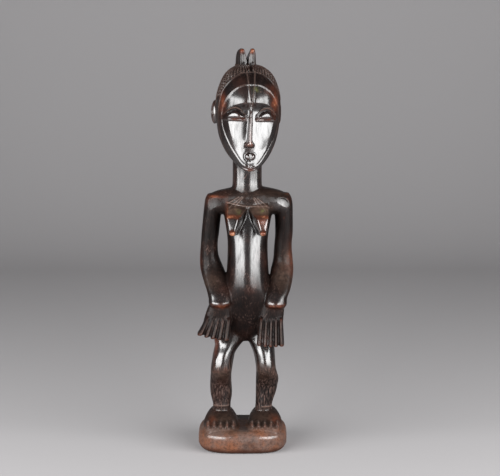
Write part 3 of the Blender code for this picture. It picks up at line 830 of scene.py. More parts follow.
def cut_between_fingers(points, normals, hand):
    for share in (np.arange(FINGER_COUNT - 1) + 0.5) / (FINGER_COUNT - 1):
        root_x, root, tip_x, tip = finger_line(hand, share)
        down = (root + FINGER_KNUCKLE - points[:, 2]) / (root + FINGER_KNUCKLE - tip)
        middle = root_x + (tip_x - root_x) * down
        reach = eased(down, 0, 0.35) * (1 - eased(down, 1.05, 1.1)) * (points[:, 1] < -20)
        depth = FINGER_GROOVE * reach * bump(points[:, 0] - middle, FINGER_GROOVE_WIDTH)
        points = points - normals * depth[:, None]
    return points


def cut_spine(points):
    low_end, high_end = eased(points[:, 2], *SPINE_FOOT), 1 - eased(points[:, 2], *SPINE_TOP)
    on_back = low_end * high_end * (points[:, 1] > 5)
    points[:, 1] -= SPINE_DEPTH * on_back * bump(points[:, 0] - BODY_X, SPINE_WIDTH)
    return points


def in_units(mesh):
    return (mesh_points(mesh) - (0, 0, PLINTH_HEIGHT)) / UNIT


def vertex_normals(mesh):
    normals = np.empty(len(mesh.vertices) * 3)
    mesh.vertices.foreach_get("normal", normals)
    return normals.reshape(-1, 3)


def in_head(points):
    place = np.array(HEAD_PLACE)
    return (points - place[:3, 3]) @ place[:3, :3]


def out_of_head(points):
    place = np.array(HEAD_PLACE)
    return points @ place[:3, :3].T + place[:3, 3]


def carved(mesh):
    points, normals = in_units(mesh), vertex_normals(mesh)
    head = points[:, 2] > 264
    local = in_head(points[head])
    on_head = ((local[:, 2] > 271.5) & (local[:, 2] < 376))[:, None]
    local = np.where(on_head, carve_face(local), local)
    turned = normals[head] @ np.array(HEAD_PLACE)[:3, :3]
    local = np.where(on_head, hollow_ears(local, turned), local)
    points[head] = out_of_head(local)
    for hand in (LEFT_FINGERS, RIGHT_FINGERS):
        points = cut_between_fingers(points, normals, hand)
    points = cut_spine(points)
    set_mesh_points(mesh, points * UNIT + (0, 0, PLINTH_HEIGHT))
    return mesh


block = fused(carved(block), FINE_GRAIN, 1)
print("carved skin", len(block.vertices), "vertices")

# %% [markdown]
# ## Where hands polished it
#
# A figure like this was held and rubbed in the same places for years. Each place is a soft ellipsoid with a
# name. The list serves twice: these places stay smoother in the mesh, and the material makes them glossy.

# %% Polished places
POLISHED_PLACES = (
    # name, centre, reach along each axis, strength
    ("face", (6, -38, 316), (32, 26, 48), 1.0),
    ("neck", (5, -12, 266), (22, 12, 14), 1.0),
    ("belly", (5.5, -26, 200), (20, 16, 40), 1.0),
    ("left shoulder", (-31, -12, 234), (6, 10, 7), 0.2),
    ("right shoulder", (40, -12, 235), (8, 10, 6), 0.6),
    ("left breast", (-10, -42, 217), (8, 6, 8), 0.5),
    ("right breast", (21, -42, 217), (8, 6, 8), 0.7),
    ("left wrist", (-25, -30, 138), (8, 10, 7), 1.0),
    ("right wrist", (33, -30, 138), (8, 10, 7), 1.0),
    ("left thigh", (-23, -16, 81), (11, 14, 19), 1.0),
    ("right thigh", (22, -16, 81), (12, 14, 19), 1.0),
    ("left forearm", (-33, -12, 165), (7, 10, 12), 0.2),
    ("right forearm", (42, -12, 158), (7, 10, 14), 0.35),
    ("crest", (5, -8, 386), (8, 10, 9), 0.4),
    ("left ear", (-29, 8, 329), (6, 12, 14), 1.0),
    ("left foot", (-23, -14, 14), (10, 10, 5), 0.3),
    ("right foot", (23, -14, 14), (10, 10, 5), 0.3),
    ("plinth edge", (0, -40, -5), (48, 8, 5), 0.55),
)


def by_hand(points, places):
    total = np.zeros(len(points))
    for _, centre, reach, strength in places:
        total += strength * np.exp(-(((points - centre) / reach) ** 2).sum(axis=1))
    return total


print(len(POLISHED_PLACES), "polished places")

# %% [markdown]
# ## Flats of the blade
#
# A blade leaves flats: broad ones that the carver meant, on the shoulders, neck and thighs, and hundreds
# of small ones, longer down the grain than across it. They could be a bump texture, but real flats catch the
# light as pieces, so the skin itself is moved. The broad flats are named planes. For the small ones the skin
# is parted into cells round scattered points, and each cell is pressed part of the way to its own plane.

# %% Broad and small flats
FLATS = (
    # centre, azimuth and elevation of the plane in degrees, reach, depth
    ("left shoulder", (-30, -10, 236), (-12, 6), (9, 12, 8), 1.1),
    ("right shoulder", (40, -10, 235), (20, 13), (9, 12, 8), 1.3),
    ("left neck", (-4, -12, 262), (-24, 3), (6, 9, 34), 0.5),
    ("right neck", (14, -12, 262), (24, 3), (5.5, 9, 34), 0.5),
    ("left thigh", (-24, -14, 82), (-27, 7), (6, 12, 20), 0.7),
    ("right thigh", (24, -14, 84), (22, 7), (7, 12, 20), 0.7),
)
CELL, PRESS = (6, 6, 13), 0.12


def facing(azimuth, elevation):
    a, e = math.radians(azimuth), math.radians(elevation)
    return np.array((math.sin(a) * math.cos(e), -math.cos(a) * math.cos(e), math.sin(e)))


def cut_flats(points):
    for _, centre, angles, reach, depth in FLATS:
        normal = facing(*angles)
        within = 1 - eased((((points - centre) / reach) ** 2).sum(axis=1), 0.5, 1.0)
        near = within > 0
        ahead = points[near] @ normal
        over = np.clip(ahead - (ahead[within[near] > 0.9].max() - depth), 0, None)
        points[near] -= normal * (over * within[near])[:, None]
    return points


def nearest_cells(points, size, seed):
    """For each point, the number of the cell of scattered centres that it lies in."""
    table = np.random.default_rng(seed).uniform(0.1, 0.9, (32, 32, 32, 3))
    at = points / size + 512
    cell = np.floor(at).astype(int)
    closest = np.full(len(points), np.inf)
    number = np.zeros(len(points), int)
    for step in itertools.product((-1, 0, 1), repeat=3):
        there = cell + step
        distance = ((at - there - table[tuple((there % 32).T)]) ** 2).sum(axis=1)
        nearer = distance < closest
        closest[nearer] = distance[nearer]
        number[nearer] = (there[nearer] @ (1, 1024, 1024**2))
    return np.unique(number, return_inverse=True)[1]


def cell_means(values, cells):
    count = np.bincount(cells)
    return np.stack([np.bincount(cells, column) / count for column in values.T], axis=1)[cells]


def press_cells(points, normals, size, share, seed):
    """How far to move each point along its normal so that each cell is flatter."""
    cells = nearest_cells(points, size, seed)
    turned = cell_means(normals, cells)
    even = np.linalg.norm(turned, axis=1)
    over = ((points - cell_means(points, cells)) * turned).sum(axis=1) / even
    return -share * np.clip(over, -0.5, 0.5) * eased(even, 0.85, 0.95)


print(len(FLATS), "broad flats, and small ones of", CELL, "units")

# %% [markdown]
# ## Incised strokes
#
# Strokes cross the chest and the ankles, a fan of scratches opens at the throat, and a flute runs down the
# front of each crest lobe. A stroke is a straight line given by its two ends as seen from the front, and the
# front skin rises or sinks along it. A texture could only darken it, while this catches the light.

# %% Cut the strokes
STROKES = (
    # two ends across and up, half width, lift
    ((-16, 237.4), (5, 233.4), 0.6, 0.6),
    ((5, 233.4), (25, 234.4), 0.6, 0.6),
    ((-31, 21.2), (-15, 21.2), 0.7, 0.8),
    ((20.5, 20.2), (34, 20.2), 0.7, 0.8),
)
THROAT = (6.5, 249)
FAN_STROKES = (
    # direction in degrees, nearest and farthest from the throat
    (-141, 9, 26), (-150, 12, 24), (-133, 9, 21), (-48, 9, 26), (-57, 9, 19), (-39, 12, 27),
)
SCRATCH_DEPTH, SCRATCH_WIDTH = 0.35, 0.5
THROAT_HOLLOW, THROAT_HOLLOW_SIZE, THROAT_HOLLOW_DEPTH = (7.5, -13, 241), (3.2, 6, 3), 1.3
FLUTE_DEPTH, FLUTE_PLACE, FLUTE_WIDTH = 1.0, 4.6, 1.1


def front_stroke(points, start, end):
    """Distance of each point from a straight stroke, seen from the front."""
    start, end = np.array(start, float), np.array(end, float)
    flat = points[:, ::2] - start
    run = end - start
    share = np.clip(flat @ run / (run @ run), 0, 1)
    return np.linalg.norm(flat - share[:, None] * run, axis=1)


def stroke_shares(points, normals):
    """The raised strokes' lift, and how deep each point lies in a scratch, from 0 to 1."""
    front = eased(-normals[:, 1], 0.1, 0.4) * (points[:, 1] < -3)
    lift, scratch = np.zeros(len(points)), np.zeros(len(points))
    for start, end, width, height in STROKES:
        lift += height * bump(front_stroke(points, start, end), width)
    for angle, near, far in FAN_STROKES:
        turn = np.array((math.cos(math.radians(angle)), math.sin(math.radians(angle))))
        line = front_stroke(points, THROAT + near * turn, THROAT + far * turn)
        scratch += bump(line, SCRATCH_WIDTH)
    return lift * front, np.clip(scratch, 0, 1) * front


def stroke_relief(points, normals):
    lift, scratch = stroke_shares(points, normals)
    hollow = np.linalg.norm((points - THROAT_HOLLOW) / THROAT_HOLLOW_SIZE, axis=1)
    hollow = THROAT_HOLLOW_DEPTH * bump(hollow, 1) * (points[:, 1] < -3)
    return lift - SCRATCH_DEPTH * scratch - hollow


def crest_relief(points):
    """A flute down the front of each lobe."""
    turned = points[:, 0] - CREST_X + HEAD_TURN * points[:, 1]
    upright = eased(points[:, 2], 380, 383) * (1 - eased(points[:, 2], 389, 393))
    return -FLUTE_DEPTH * bump(np.abs(turned) - FLUTE_PLACE, FLUTE_WIDTH) * upright * (points[:, 1] < -4)


print(len(STROKES), "raised strokes and", len(FAN_STROKES), "scratches")

# %% [markdown]
# ## The cap of hair
#
# The cap of hair is scored with two sets of crossing lines, a carver's way to show tight plaits. Each set
# winds round the head like the thread of a screw, and the two wind opposite ways. A mask keeps them behind
# the hairline, above a line that falls towards the nape, and off the ears.

# %% Score the hair
HAIR_STEP, HAIR_TOP, HAIR_DEPTH = 0.35, 0.35, 1.3
PLAIT_SPACING, PLAITS_ROUND, PLAIT_LEANS = 6.0, 33, (38, -52)
HAIR_BACK, HAIR_HEIGHT, HAIR_RADIUS = -3, 330, 50
NAPE_TOP, NAPE_FALL = 345, 45
HEAD_FOOT, HAIR_FOOT, HEAD_TOP = 272, 285, 379


def hair_mask(local):
    """1 on the cap of hair and 0 off it."""
    across, height = np.array(HAIRLINE, float).T
    line = np.interp(local[:, 2], height[::-1], across[::-1])
    behind = eased(np.abs(local[:, 0]) - line, 0.8, 1.6)
    rear = eased(local[:, 1] + head_front(line, local[:, 2]), 1.2, 2.4)
    nape = NAPE_TOP - NAPE_FALL * eased(local[:, 1], -8, 24)
    ear = (np.abs(local) - (head_half(EAR_HEIGHT), EAR_BACK, EAR_HEIGHT)) / (np.array(EAR_SIZE) + 1.5)
    off_ear = eased(np.linalg.norm(ear, axis=1), 0.95, 1.05)
    return np.maximum(behind, rear) * eased(local[:, 2] - nape, 0, 1.5) * off_ear


def hair_relief(local):
    angle = np.arctan2(local[:, 0], local[:, 1] - HAIR_BACK)
    rise = np.arccos(np.clip((local[:, 2] - HAIR_HEIGHT) / HAIR_RADIUS, -1, 1))
    wave = 1.1 * soft_noise(local, 6, 5)
    first = PLAITS_ROUND * angle + PLAIT_LEANS[0] * rise + wave
    second = PLAITS_ROUND * angle + PLAIT_LEANS[1] * rise - wave
    cuts = bump(np.sin(math.pi * first / PLAIT_SPACING), 0.4)
    cuts += 0.9 * bump(np.sin(math.pi * second / PLAIT_SPACING), 0.35)
    uneven = 0.75 + 0.5 * soft_noise(local, 5, 6)
    return HAIR_STEP + HAIR_TOP - HAIR_DEPTH * np.clip(cuts * uneven, 0, 1.2)


print("about", round(2 * math.pi * PLAITS_ROUND / PLAIT_SPACING), "cuts of each set round the head")

# %% [markdown]
# ## Lid lines, shin grain and the finished skin
#
# The lids get thin lines and the shins a fine upright grain. Then all the relief is added up as one lift for
# each vertex, along its normal. The face and the polished places get less of the unevenness, because rubbing
# takes that off first.

# %% Put the fine relief on the skin
LID_LINE, LID_GROOVE, BALL_LINE = 0.75, 0.4, 0.5
UNEVENNESS = (
    # height, size of its lumps, seed
    (0.15, (9, 9, 16), 1),
    (0.07, (3, 3, 7), 2),
)
SHIN_GRAIN, SHIN_LUMPS = 0.11, (1.2, 1.2, 16)
FACE_SHARE, POLISHED_LOSS = 0.25, 0.75


def shin_mask(points, normals):
    upright = 1 - eased(np.abs(normals[:, 2]), 0.4, 0.7)
    return (1 - eased(points[:, 2], 62, 76)) * eased(points[:, 2], -4, 8) * upright


def lid_relief(local):
    """Thin lines round the whole eye and round its ball."""
    u, v = local[:, 0] - FACE_SHIFT, local[:, 2]
    lens, inner, whole, ball = eye_shares(u, v)
    above = eased(v, EYE_HEIGHT, EYE_HEIGHT + 1)
    outer = bump((whole - 1) * 0.5 * EYE_RISE * lens, 0.55) * eased(lens, 0.02, 0.2)
    groove = bump((whole - 1.24) * 0.5 * EYE_RISE * lens, 0.6) * eased(lens, 0.02, 0.3)
    rim = bump((ball - 1.2) * 0.5 * BALL_SHARE * EYE_RISE * inner, 0.55) * eased(inner, 0.02, 0.2)
    return (LID_LINE * outer - LID_GROOVE * groove + BALL_LINE * rim) * above * (local[:, 1] < 0)


def finished(mesh):
    points, normals = in_units(mesh), vertex_normals(mesh)
    points = cut_flats(points)
    lift = sum(height * soft_noise(points, size, seed) for height, size, seed in UNEVENNESS)
    local = in_head(points)
    face = (local[:, 2] > 270) & (local[:, 1] < 5)
    lift += press_cells(points, normals, CELL, PRESS, 3)
    polished = np.clip(by_hand(points, POLISHED_PLACES), 0, 1)
    lift *= np.where(face, FACE_SHARE, 1 - POLISHED_LOSS * polished)
    lift += stroke_relief(points, normals) + crest_relief(points)
    lift += SHIN_GRAIN * shin_mask(points, normals) * soft_noise(points, SHIN_LUMPS, 4)
    on_head = (local[:, 2] > HEAD_FOOT) & (local[:, 2] < HEAD_TOP)
    hair = np.where(on_head & (local[:, 2] > HAIR_FOOT), hair_mask(local), 0)
    lift[on_head] += lid_relief(local[on_head]) + rim_lines(local[on_head])
    lift = lift * (1 - hair) + hair * hair_relief(local)
    print("relief from", round(float(lift.min()), 2), "to", round(float(lift.max()), 2), "units")
    set_mesh_points(mesh, (points + normals * lift[:, None]) * UNIT + (0, 0, PLINTH_HEIGHT))
    return mesh


block = finished(block)

# %% [markdown]
# ## Fewer triangles where it is smooth
#
# The even skin holds far more triangles than the smooth stretches need. Decimate collapses those first and
# keeps the small ones in the carving. Then the underside is cut to a true plane, so that the plinth stands.

# %% Thin the skin and cut the underside flat
MOST_TRIANGLES = 190000


def thinned(mesh):
    obj = as_object(mesh)
    mesh.calc_loop_triangles()
    decimate = obj.modifiers.new("thin", "DECIMATE")
    decimate.ratio = min(1, MOST_TRIANGLES / len(mesh.loop_triangles))
    return applied(obj)


def cut_flat(mesh):
    bm = bmesh.new()
    bm.from_mesh(mesh)
    everything = bm.verts[:] + bm.edges[:] + bm.faces[:]
    cut = bmesh.ops.bisect_plane(
        bm, geom=everything, plane_co=(0, 0, 0), plane_no=(0, 0, -1), clear_outer=True
    )
    rim = [part for part in cut["geom_cut"] if isinstance(part, bmesh.types.BMEdge)]
    bmesh.ops.contextual_create(bm, geom=rim)
    bmesh.ops.triangulate(bm, faces=bm.faces)
    bmesh.ops.recalc_face_normals(bm, faces=bm.faces)
    bm.to_mesh(mesh)
    bm.free()
    return mesh


def kept_inside(mesh, low, high):
    """The skin pressed flat where it would leave the solid's box."""
    set_mesh_points(mesh, np.clip(mesh_points(mesh), np.array(low), np.array(high)))
    return mesh


skin = kept_inside(cut_flat(thinned(block)), cad_low, cad_high)
skin.name = "carved_figure"
print("finished skin", len(skin.polygons), "triangles")

# %% [markdown]
# ## Edges and hollows
#
# Handling polishes and reddens the edges, and dust settles in the cuts. These could be painted by hand. Here
# they are measured from the skin itself: an edge lies outside the average of its neighbours and a hollow
# inside it. A few rounds of averaging find the carving, and many rounds find the forms.

# %% Measure edges and hollows
FEW_ROUNDS, MANY_ROUNDS = 6, 40
FINE_EDGE, BROAD_EDGE = (0.12, 0.45), (0.8, 1.8)
FINE_HOLLOW, BROAD_HOLLOW = (0.05, 0.3), (0.5, 1.8)


def neighbour_average(values, edges, count):
    total = np.empty_like(values)
    for column in range(values.shape[1]):
        total[:, column] = np.bincount(edges[:, 0], values[edges[:, 1], column], count)
        total[:, column] += np.bincount(edges[:, 1], values[edges[:, 0], column], count)
    return total / np.bincount(edges.ravel(), minlength=count)[:, None]


def edge_and_hollow(mesh, rounds):
    """How far each vertex stands out of its smoothed neighbourhood, in units: above 0 on an edge."""
    edges = np.empty(len(mesh.edges) * 2, int)
    mesh.edges.foreach_get("vertices", edges)
    edges = edges.reshape(-1, 2)
    points = in_units(mesh)
    smooth = points
    for _ in range(rounds):
        smooth = 0.5 * smooth + 0.5 * neighbour_average(smooth, edges, len(points))
    return ((points - smooth) * vertex_normals(mesh)).sum(axis=1)


fine_edges = edge_and_hollow(skin, FEW_ROUNDS)
broad_edges = edge_and_hollow(skin, MANY_ROUNDS)
print("edges take up", round(100 * float((fine_edges > FINE_EDGE[0]).mean()), 1), "% of the vertices")

# %% [markdown]
# ## Places that were worn, spotted or spared
#
# Wear isn't even: a nose and a breast are touched more than a back. So the places are named, as the
# polished ones were. Worn places show red wood, browned ones lost part of their coat, olive ones get olive
# spots, grimy ones lost their gloss, and in the places kept dark the edges stay as dark as the rest.

# %% Worn, stained and spared places
WORN_PLACES = (
    # name, centre, reach along each axis, strength
    ("left temple", (-21, -26, 341), (3.4, 14, 10), 0.9),
    ("right temple", (33, -24, 342), (3.6, 14, 12), 0.9),
    ("right forehead", (27, -28, 354), (4, 12, 5), 0.35),
    ("nose", (9.5, -50, 318), (2.6, 8, 18), 1.2),
    # The left ear's share is partly a painted highlight: that ear faces the left soft box and is painted
    # paler than the right one.
    ("left ear", (-30, 8, 329), (5, 9, 12), 0.2),
    ("left nipple", (-10, -44, 208), (4, 5, 3), 1.5),
    ("right nipple", (21, -44, 208), (4, 5, 3), 1.5),
    ("nostrils", (7.3, -50, 300), (6, 8, 3), 0.8),
    ("chin", (7, -42, 274), (5, 8, 2.5), 0.7),
    ("left eye", (-5, -40, 325), (10, 8, 1.6), 0.6),
    ("right eye", (26, -38, 324), (10, 8, 1.6), 0.7),
    ("left breast edge", (-16.5, -24, 226), (1.6, 16, 13), 1.0),
    ("left breast line", (-10, -38, 225.5), (9, 8, 1.3), 1.0),
    ("right breast line", (20, -38, 225.5), (9, 8, 1.3), 0.9),
    ("right breast", (22, -40, 218), (6, 8, 8), 0.7),
    ("left shoulder", (-30, -10, 243), (8, 7, 1.2), 1.2),
    ("left wrist", (-22, -32, 131), (7, 6, 2.2), 1.0),
    ("right wrist", (35, -32, 131), (8, 6, 3.0), 0.9),
    ("right elbow", (51, -2, 176), (4, 12, 18), 0.5),
    ("left elbow", (-45, -4, 170), (3, 12, 16), 0.3),
    ("left thigh", (-28, -8, 92), (3, 8, 16), 0.8),
    ("left crest", (-1, -12, 393), (3, 4, 2), 0.8),
    ("right crest", (8.5, -12, 393), (3, 4, 2.5), 1.0),
    ("left foot", (-32, -20, 6), (4, 8, 5), 0.7),
    ("right foot", (34, -18, 7), (5, 8, 5), 0.7),
)
OLIVE_PLACES = (
    ("left breast top", (-4, -28, 230), (2.2, 6, 2.8), 1.0),
    ("right breast top", (21, -26, 230), (2.4, 6, 2.8), 1.0),
    ("right forehead", (14, -35, 355), (2.8, 8, 2.0), 1.0),
)
GRIMY_PLACES = (
    ("beside the nose", (4, -38, 314), (7, 10, 14), 0.35),
    ("under the brow", (6, -34, 338), (26, 12, 5), 0.9),
    ("beside the left eye", (-23, -30, 328), (4, 14, 6), 0.8),
    ("beside the right eye", (33, -28, 328), (4, 14, 6), 0.8),
    ("neck", (5, -12, 264), (20, 12, 14), 0.5),
    ("collarbones", (5.5, -14, 243), (24, 12, 7), 1.0),
    ("belly", (5.5, -26, 192), (22, 14, 30), 0.4),
    ("lower belly", (5.5, -24, 126), (24, 14, 22), 1.2),
    ("forehead band", (6, -26, 366), (26, 16, 7), 0.8),
    ("right shoulder", (40, -12, 235), (10, 10, 8), 0.1),
    ("thighs", (0, -16, 80), (40, 14, 18), 0.1),
)
KEPT_DARK_PLACES = (
    ("lower belly", (5.5, -26, 140), (26, 16, 26), 1.0),
    ("parting", (7.5, -36, 358), (7, 14, 26), 1.2),
    ("shins", (0, -10, 38), (45, 30, 22), 0.8),
)
BROWNED_PLACES = (
    ("left breast top", (-9, -26, 231), (11, 14, 5), 1.2),
    ("right breast top", (20, -26, 231), (11, 14, 5), 1.8),
    ("chest", (6, -10, 243), (26, 14, 7), 0.2),
    ("right shoulder", (36, -2, 246), (20, 16, 4), 0.25),
    ("left foot", (-23, -20, 10), (18, 18, 8), 0.4),
    ("right foot", (23, -20, 10), (18, 18, 8), 0.35),
    ("plinth top", (0, -38, 0), (44, 8, 4), 1.1),
    ("right elbow", (48, -8, 174), (7, 10, 14), 0.5),
    ("right forearm", (42, -14, 158), (9, 10, 18), 0.6),
    ("left forearm", (-33, -16, 156), (9, 10, 10), 0.45),
    ("left knee", (-23, -18, 58), (11, 8, 9), 0.45),
    ("right knee", (24, -18, 60), (11, 8, 9), 0.45),
)


for kind, places in (("worn", WORN_PLACES), ("grimy", GRIMY_PLACES), ("browned", BROWNED_PLACES)):
    print(len(places), kind, "places")

# %% [markdown]
# ## Pale ridges and the stored masks
#
# The ridges of the fingers and toes are made pale along their middle: partly rubbed wood, partly a painted
# highlight where a ridge catches the light. Together with the strokes, the hair, the plinth and the measures
# above they become masks from 0 to 1. Each mask is stored as an attribute on the vertices, which the
# material reads, so the wear and the painted highlights stay where they are however the figure is placed.

# %% Store the masks
# The finger and toe ridges are painted pale: partly rubbed wood, partly a painted highlight where a ridge
# catches the light.
RIDGE_PALENESS, RIDGE_WIDTH = 0.45, 0.45
TOE_PALENESS, TOE_RIDGE_WIDTH, TOE_RIDGE_LENGTH = 0.9, 0.8, 4
BARE_END, FOOT_RIM_END = (-5, 6), (-24, -14)


def finger_ridges(points):
    total = np.zeros(len(points))
    for hand in (LEFT_FINGERS, RIGHT_FINGERS):
        for share in np.linspace(0, 1, FINGER_COUNT):
            root_x, root, tip_x, tip = finger_line(hand, share)
            away = front_stroke(points, (root_x, root - 2), (tip_x, tip))
            total += RIDGE_PALENESS * bump(away, RIDGE_WIDTH)
    return total * (points[:, 1] < -27)


def toe_ridges(points):
    total = np.zeros(len(points))
    for foot_x in (LEFT_FOOT_X, RIGHT_FOOT_X):
        for place in range(-2, 3):
            away = np.abs(points[:, 0] - foot_x - place * TOE_SPREAD)
            front = TOE_TURN * place**2 - TOE_FRONT - 2
            along = bump(points[:, 1] - front, TOE_RIDGE_LENGTH)
            total += TOE_PALENESS * bump(away, TOE_RIDGE_WIDTH) * along
    return total * eased(points[:, 2], 2, 5) * (1 - eased(points[:, 2], 12, 16))


def handled_masks(points):
    """Edges and places worn to red, olive spots, dusty cuts, polish and lost coat."""
    patchy = 0.5 + 0.5 * soft_noise(points, (7, 7, 10), 21)
    edge = eased(fine_edges, *FINE_EDGE) + 0.4 * eased(broad_edges, *BROAD_EDGE)
    edge *= 1 - np.clip(by_hand(points, KEPT_DARK_PLACES), 0, 1)
    worn = by_hand(points, WORN_PLACES) * (0.3 + 0.6 * patchy + 0.5 * streaky)
    hollow = eased(-fine_edges, *FINE_HOLLOW) + 0.5 * eased(-broad_edges, *BROAD_HOLLOW)
    return {
        "worn": edge * (0.08 + 0.35 * patchy) + worn,
        "olive": by_hand(points, OLIVE_PLACES) * (0.4 + 0.8 * patchy),
        "hollow": hollow,
        "polish": by_hand(points, POLISHED_PLACES),
        "browned": by_hand(points, BROWNED_PLACES) * (0.5 + 0.6 * patchy),
    }


def plinth_masks(points):
    """The plinth without its dark coat, and how it turns darker and redder towards the bottom."""
    bare = points[:, 2] + 4 * soft_noise(points, (12, 12, 6), 22)
    foot = points[:, 2] + 1.5 * soft_noise(points, (8, 8, 4), 24)
    return {"bare": 1 - eased(bare, *BARE_END), "foot_rim": 1 - eased(foot, *FOOT_RIM_END)}


def carved_masks(points, normals):
    """Hair, grime, scraped shins and neck, and pale lines, partly a painted highlight on raised lines and
    ridges.
    """
    local = in_head(points)
    height = local[:, 2]
    on_head = (height > HAIR_FOOT) & (height < HEAD_TOP)
    on_face = on_head & (local[:, 1] < 0)
    hair = np.where(on_head, hair_mask(local), 0)
    lines = np.clip(rim_lines(local), 0, 1) * on_head
    _, inner, whole, ball = eye_shares(local[:, 0] - FACE_SHIFT, height)
    on_ball = (1 - eased(ball, 0.85, 1.0)) * eased(inner, 0, 0.1)
    in_socket = (1 - eased(whole, 1.1, 1.35)) * (1 - on_ball) * on_face
    lid_line = bump(whole - 1.02, 0.1) * on_face * (height > EYE_HEIGHT + 1)
    grime = by_hand(points, GRIMY_PLACES) * (0.2 + 1.2 * streaky)
    neck = 0.15 * (points[:, 2] > 252) * (points[:, 2] < 274)
    lift, scratch = stroke_shares(points, normals)
    # Raised lines round hair and face, the finger and toe ridges and the lid line are painted pale, partly as
    # a painted highlight.
    ridges = finger_ridges(points) + toe_ridges(points) + 0.5 * lines
    return {
        # The hair mask is strongest on the plaits' ridges, which the material paints paler, partly as a
        # painted highlight.
        "hair": hair * (0.5 + 0.5 * eased(fine_edges, 0.02, 0.2)),
        "grime": grime + 0.75 * in_socket + 0.5 * lines,
        "scraped": shin_mask(points, normals) + neck,
        "pale_lines_and_painted_highlights": lift + 0.8 * scratch + ridges * (0.3 + 1.2 * streaky) + 0.6 * lid_line,
    }


skin_points = in_units(skin)
streaky = 0.5 + 0.5 * soft_noise(skin_points, (1.2, 1.2, 10), 23)
masks = handled_masks(skin_points) | plinth_masks(skin_points)
masks |= carved_masks(skin_points, vertex_normals(skin))
for name, values in masks.items():
    layer = skin.attributes.new(name, "FLOAT", "POINT")
    layer.data.foreach_set("value", np.clip(values, 0, 1).astype(np.float32))
    print(f"{name:8s} mean {float(np.mean(values)):.3f}")

# %% [markdown]
# ## Building shader nodes
#
# Layers go on as they did on the real wood, and one node group holds them all. A few helpers keep it
# readable: one adds a node with its settings and sockets in a line, and the others add the noises, ramps
# and mixes that every layer of the finish needs. The group starts with its outputs, the stored masks and
# two sets of coordinates: even ones, and ones drawn out along the grain.

# %% Node helpers
def connect(tree, value, socket):
    if isinstance(value, bpy.types.NodeSocket):
        tree.links.new(value, socket)
    else:
        socket.default_value = value


def add_node(tree, kind, settings=None, **sockets):
    node = tree.nodes.new(kind)
    for name, value in (settings or {}).items():
        setattr(node, name, value)
    for name, value in sockets.items():
        connect(tree, value, node.inputs[name.replace("_", " ")])
    return node


def attribute(tree, name):
    return add_node(tree, "ShaderNodeAttribute", {"attribute_name": name}).outputs["Fac"]


def stretched(tree, scale, turn=(0, 0, 0)):
    """Object coordinates, turned, then scaled along each axis."""
    place = add_node(tree, "ShaderNodeTexCoord").outputs["Object"]
    turned = add_node(tree, "ShaderNodeMapping", Vector=place, Rotation=turn).outputs["Vector"]
    return add_node(tree, "ShaderNodeMapping", Vector=turned, Scale=scale).outputs["Vector"]


def noise(tree, vector, scale, detail=4.0, rough=0.55):
    return add_node(
        tree, "ShaderNodeTexNoise", Vector=vector, Scale=scale, Detail=detail, Roughness=rough
    ).outputs["Fac"]


def ramp(tree, value, low, high, low_to=0.0, high_to=1.0):
    node = add_node(tree, "ShaderNodeMapRange", {"interpolation_type": "SMOOTHSTEP"}, Value=value)
    for name, number in (("From Min", low), ("From Max", high), ("To Min", low_to), ("To Max", high_to)):
        node.inputs[name].default_value = number
    return node.outputs["Result"]


def maths(tree, operation, first, second):
    node = add_node(tree, "ShaderNodeMath", {"operation": operation})
    for socket, value in zip(node.inputs, (first, second)):
        connect(tree, value, socket)
    return node.outputs["Value"]


def product(tree, first, second):
    return maths(tree, "MULTIPLY", first, second)


def total(tree, first, *others):
    for other in others:
        first = maths(tree, "ADD", first, other)
    return first


def laid_over(tree, share, below, above):
    """The colour below, with this share of the colour above laid over it."""
    node = add_node(tree, "ShaderNodeMix", {"data_type": "RGBA"})
    for index, value in ((0, share), (6, below), (7, above)):
        connect(tree, value, node.inputs[index])
    return node.outputs[2]


patina = bpy.data.node_groups.new("dark_patina", "ShaderNodeTree")
patina.interface.new_socket("Color", in_out="OUTPUT", socket_type="NodeSocketColor")
for name in ("Roughness", "Gloss", "Height"):
    patina.interface.new_socket(name, in_out="OUTPUT", socket_type="NodeSocketFloat")
coat = {name: attribute(patina, name) for name in masks}
even = stretched(patina, (1, 1, 1))
grain = stretched(patina, (1, 1, 0.12))
print("the patina reads", len(coat), "masks")

# %% [markdown]
# ## The dark ground
#
# The ground is black-brown with a browner cast in places and fine streaks along the grain. The streaks show
# plainly where the shins and the neck were scraped. Thin scratches lean both ways in loose groups, and small
# flecks are strewn over all. Every layer is a noise with its contrast raised, laid over the last one.

# %% Ground, streaks and scratches
GROUND_DARK = (0.0024, 0.0015, 0.0014, 1)
GROUND_LIGHT = (0.0058, 0.0031, 0.0026, 1)
BROWN_CAST = (0.024, 0.0085, 0.0058, 1)
STREAK = (0.085, 0.045, 0.036, 1)
SCRAPED_PALE = (0.120, 0.075, 0.062, 1)
STREAK_SHARE, SCRAPED_SHARE = 0.09, 0.7
SCRATCH_LEANS = (-38, 27)


def dark_ground(tree):
    colour = laid_over(tree, ramp(tree, noise(tree, even, 45), 0.3, 0.75), GROUND_DARK, GROUND_LIGHT)
    cast = ramp(tree, noise(tree, even, 28, 6, 0.6), 0.50, 0.75, 0, 0.7)
    colour = laid_over(tree, cast, colour, BROWN_CAST)
    streaks = ramp(tree, noise(tree, grain, 1200, 4), 0.48, 0.70)
    colour = laid_over(tree, product(tree, streaks, STREAK_SHARE), colour, STREAK)
    scraped = product(tree, streaks, product(tree, coat["scraped"], SCRAPED_SHARE))
    return laid_over(tree, scraped, colour, SCRAPED_PALE)


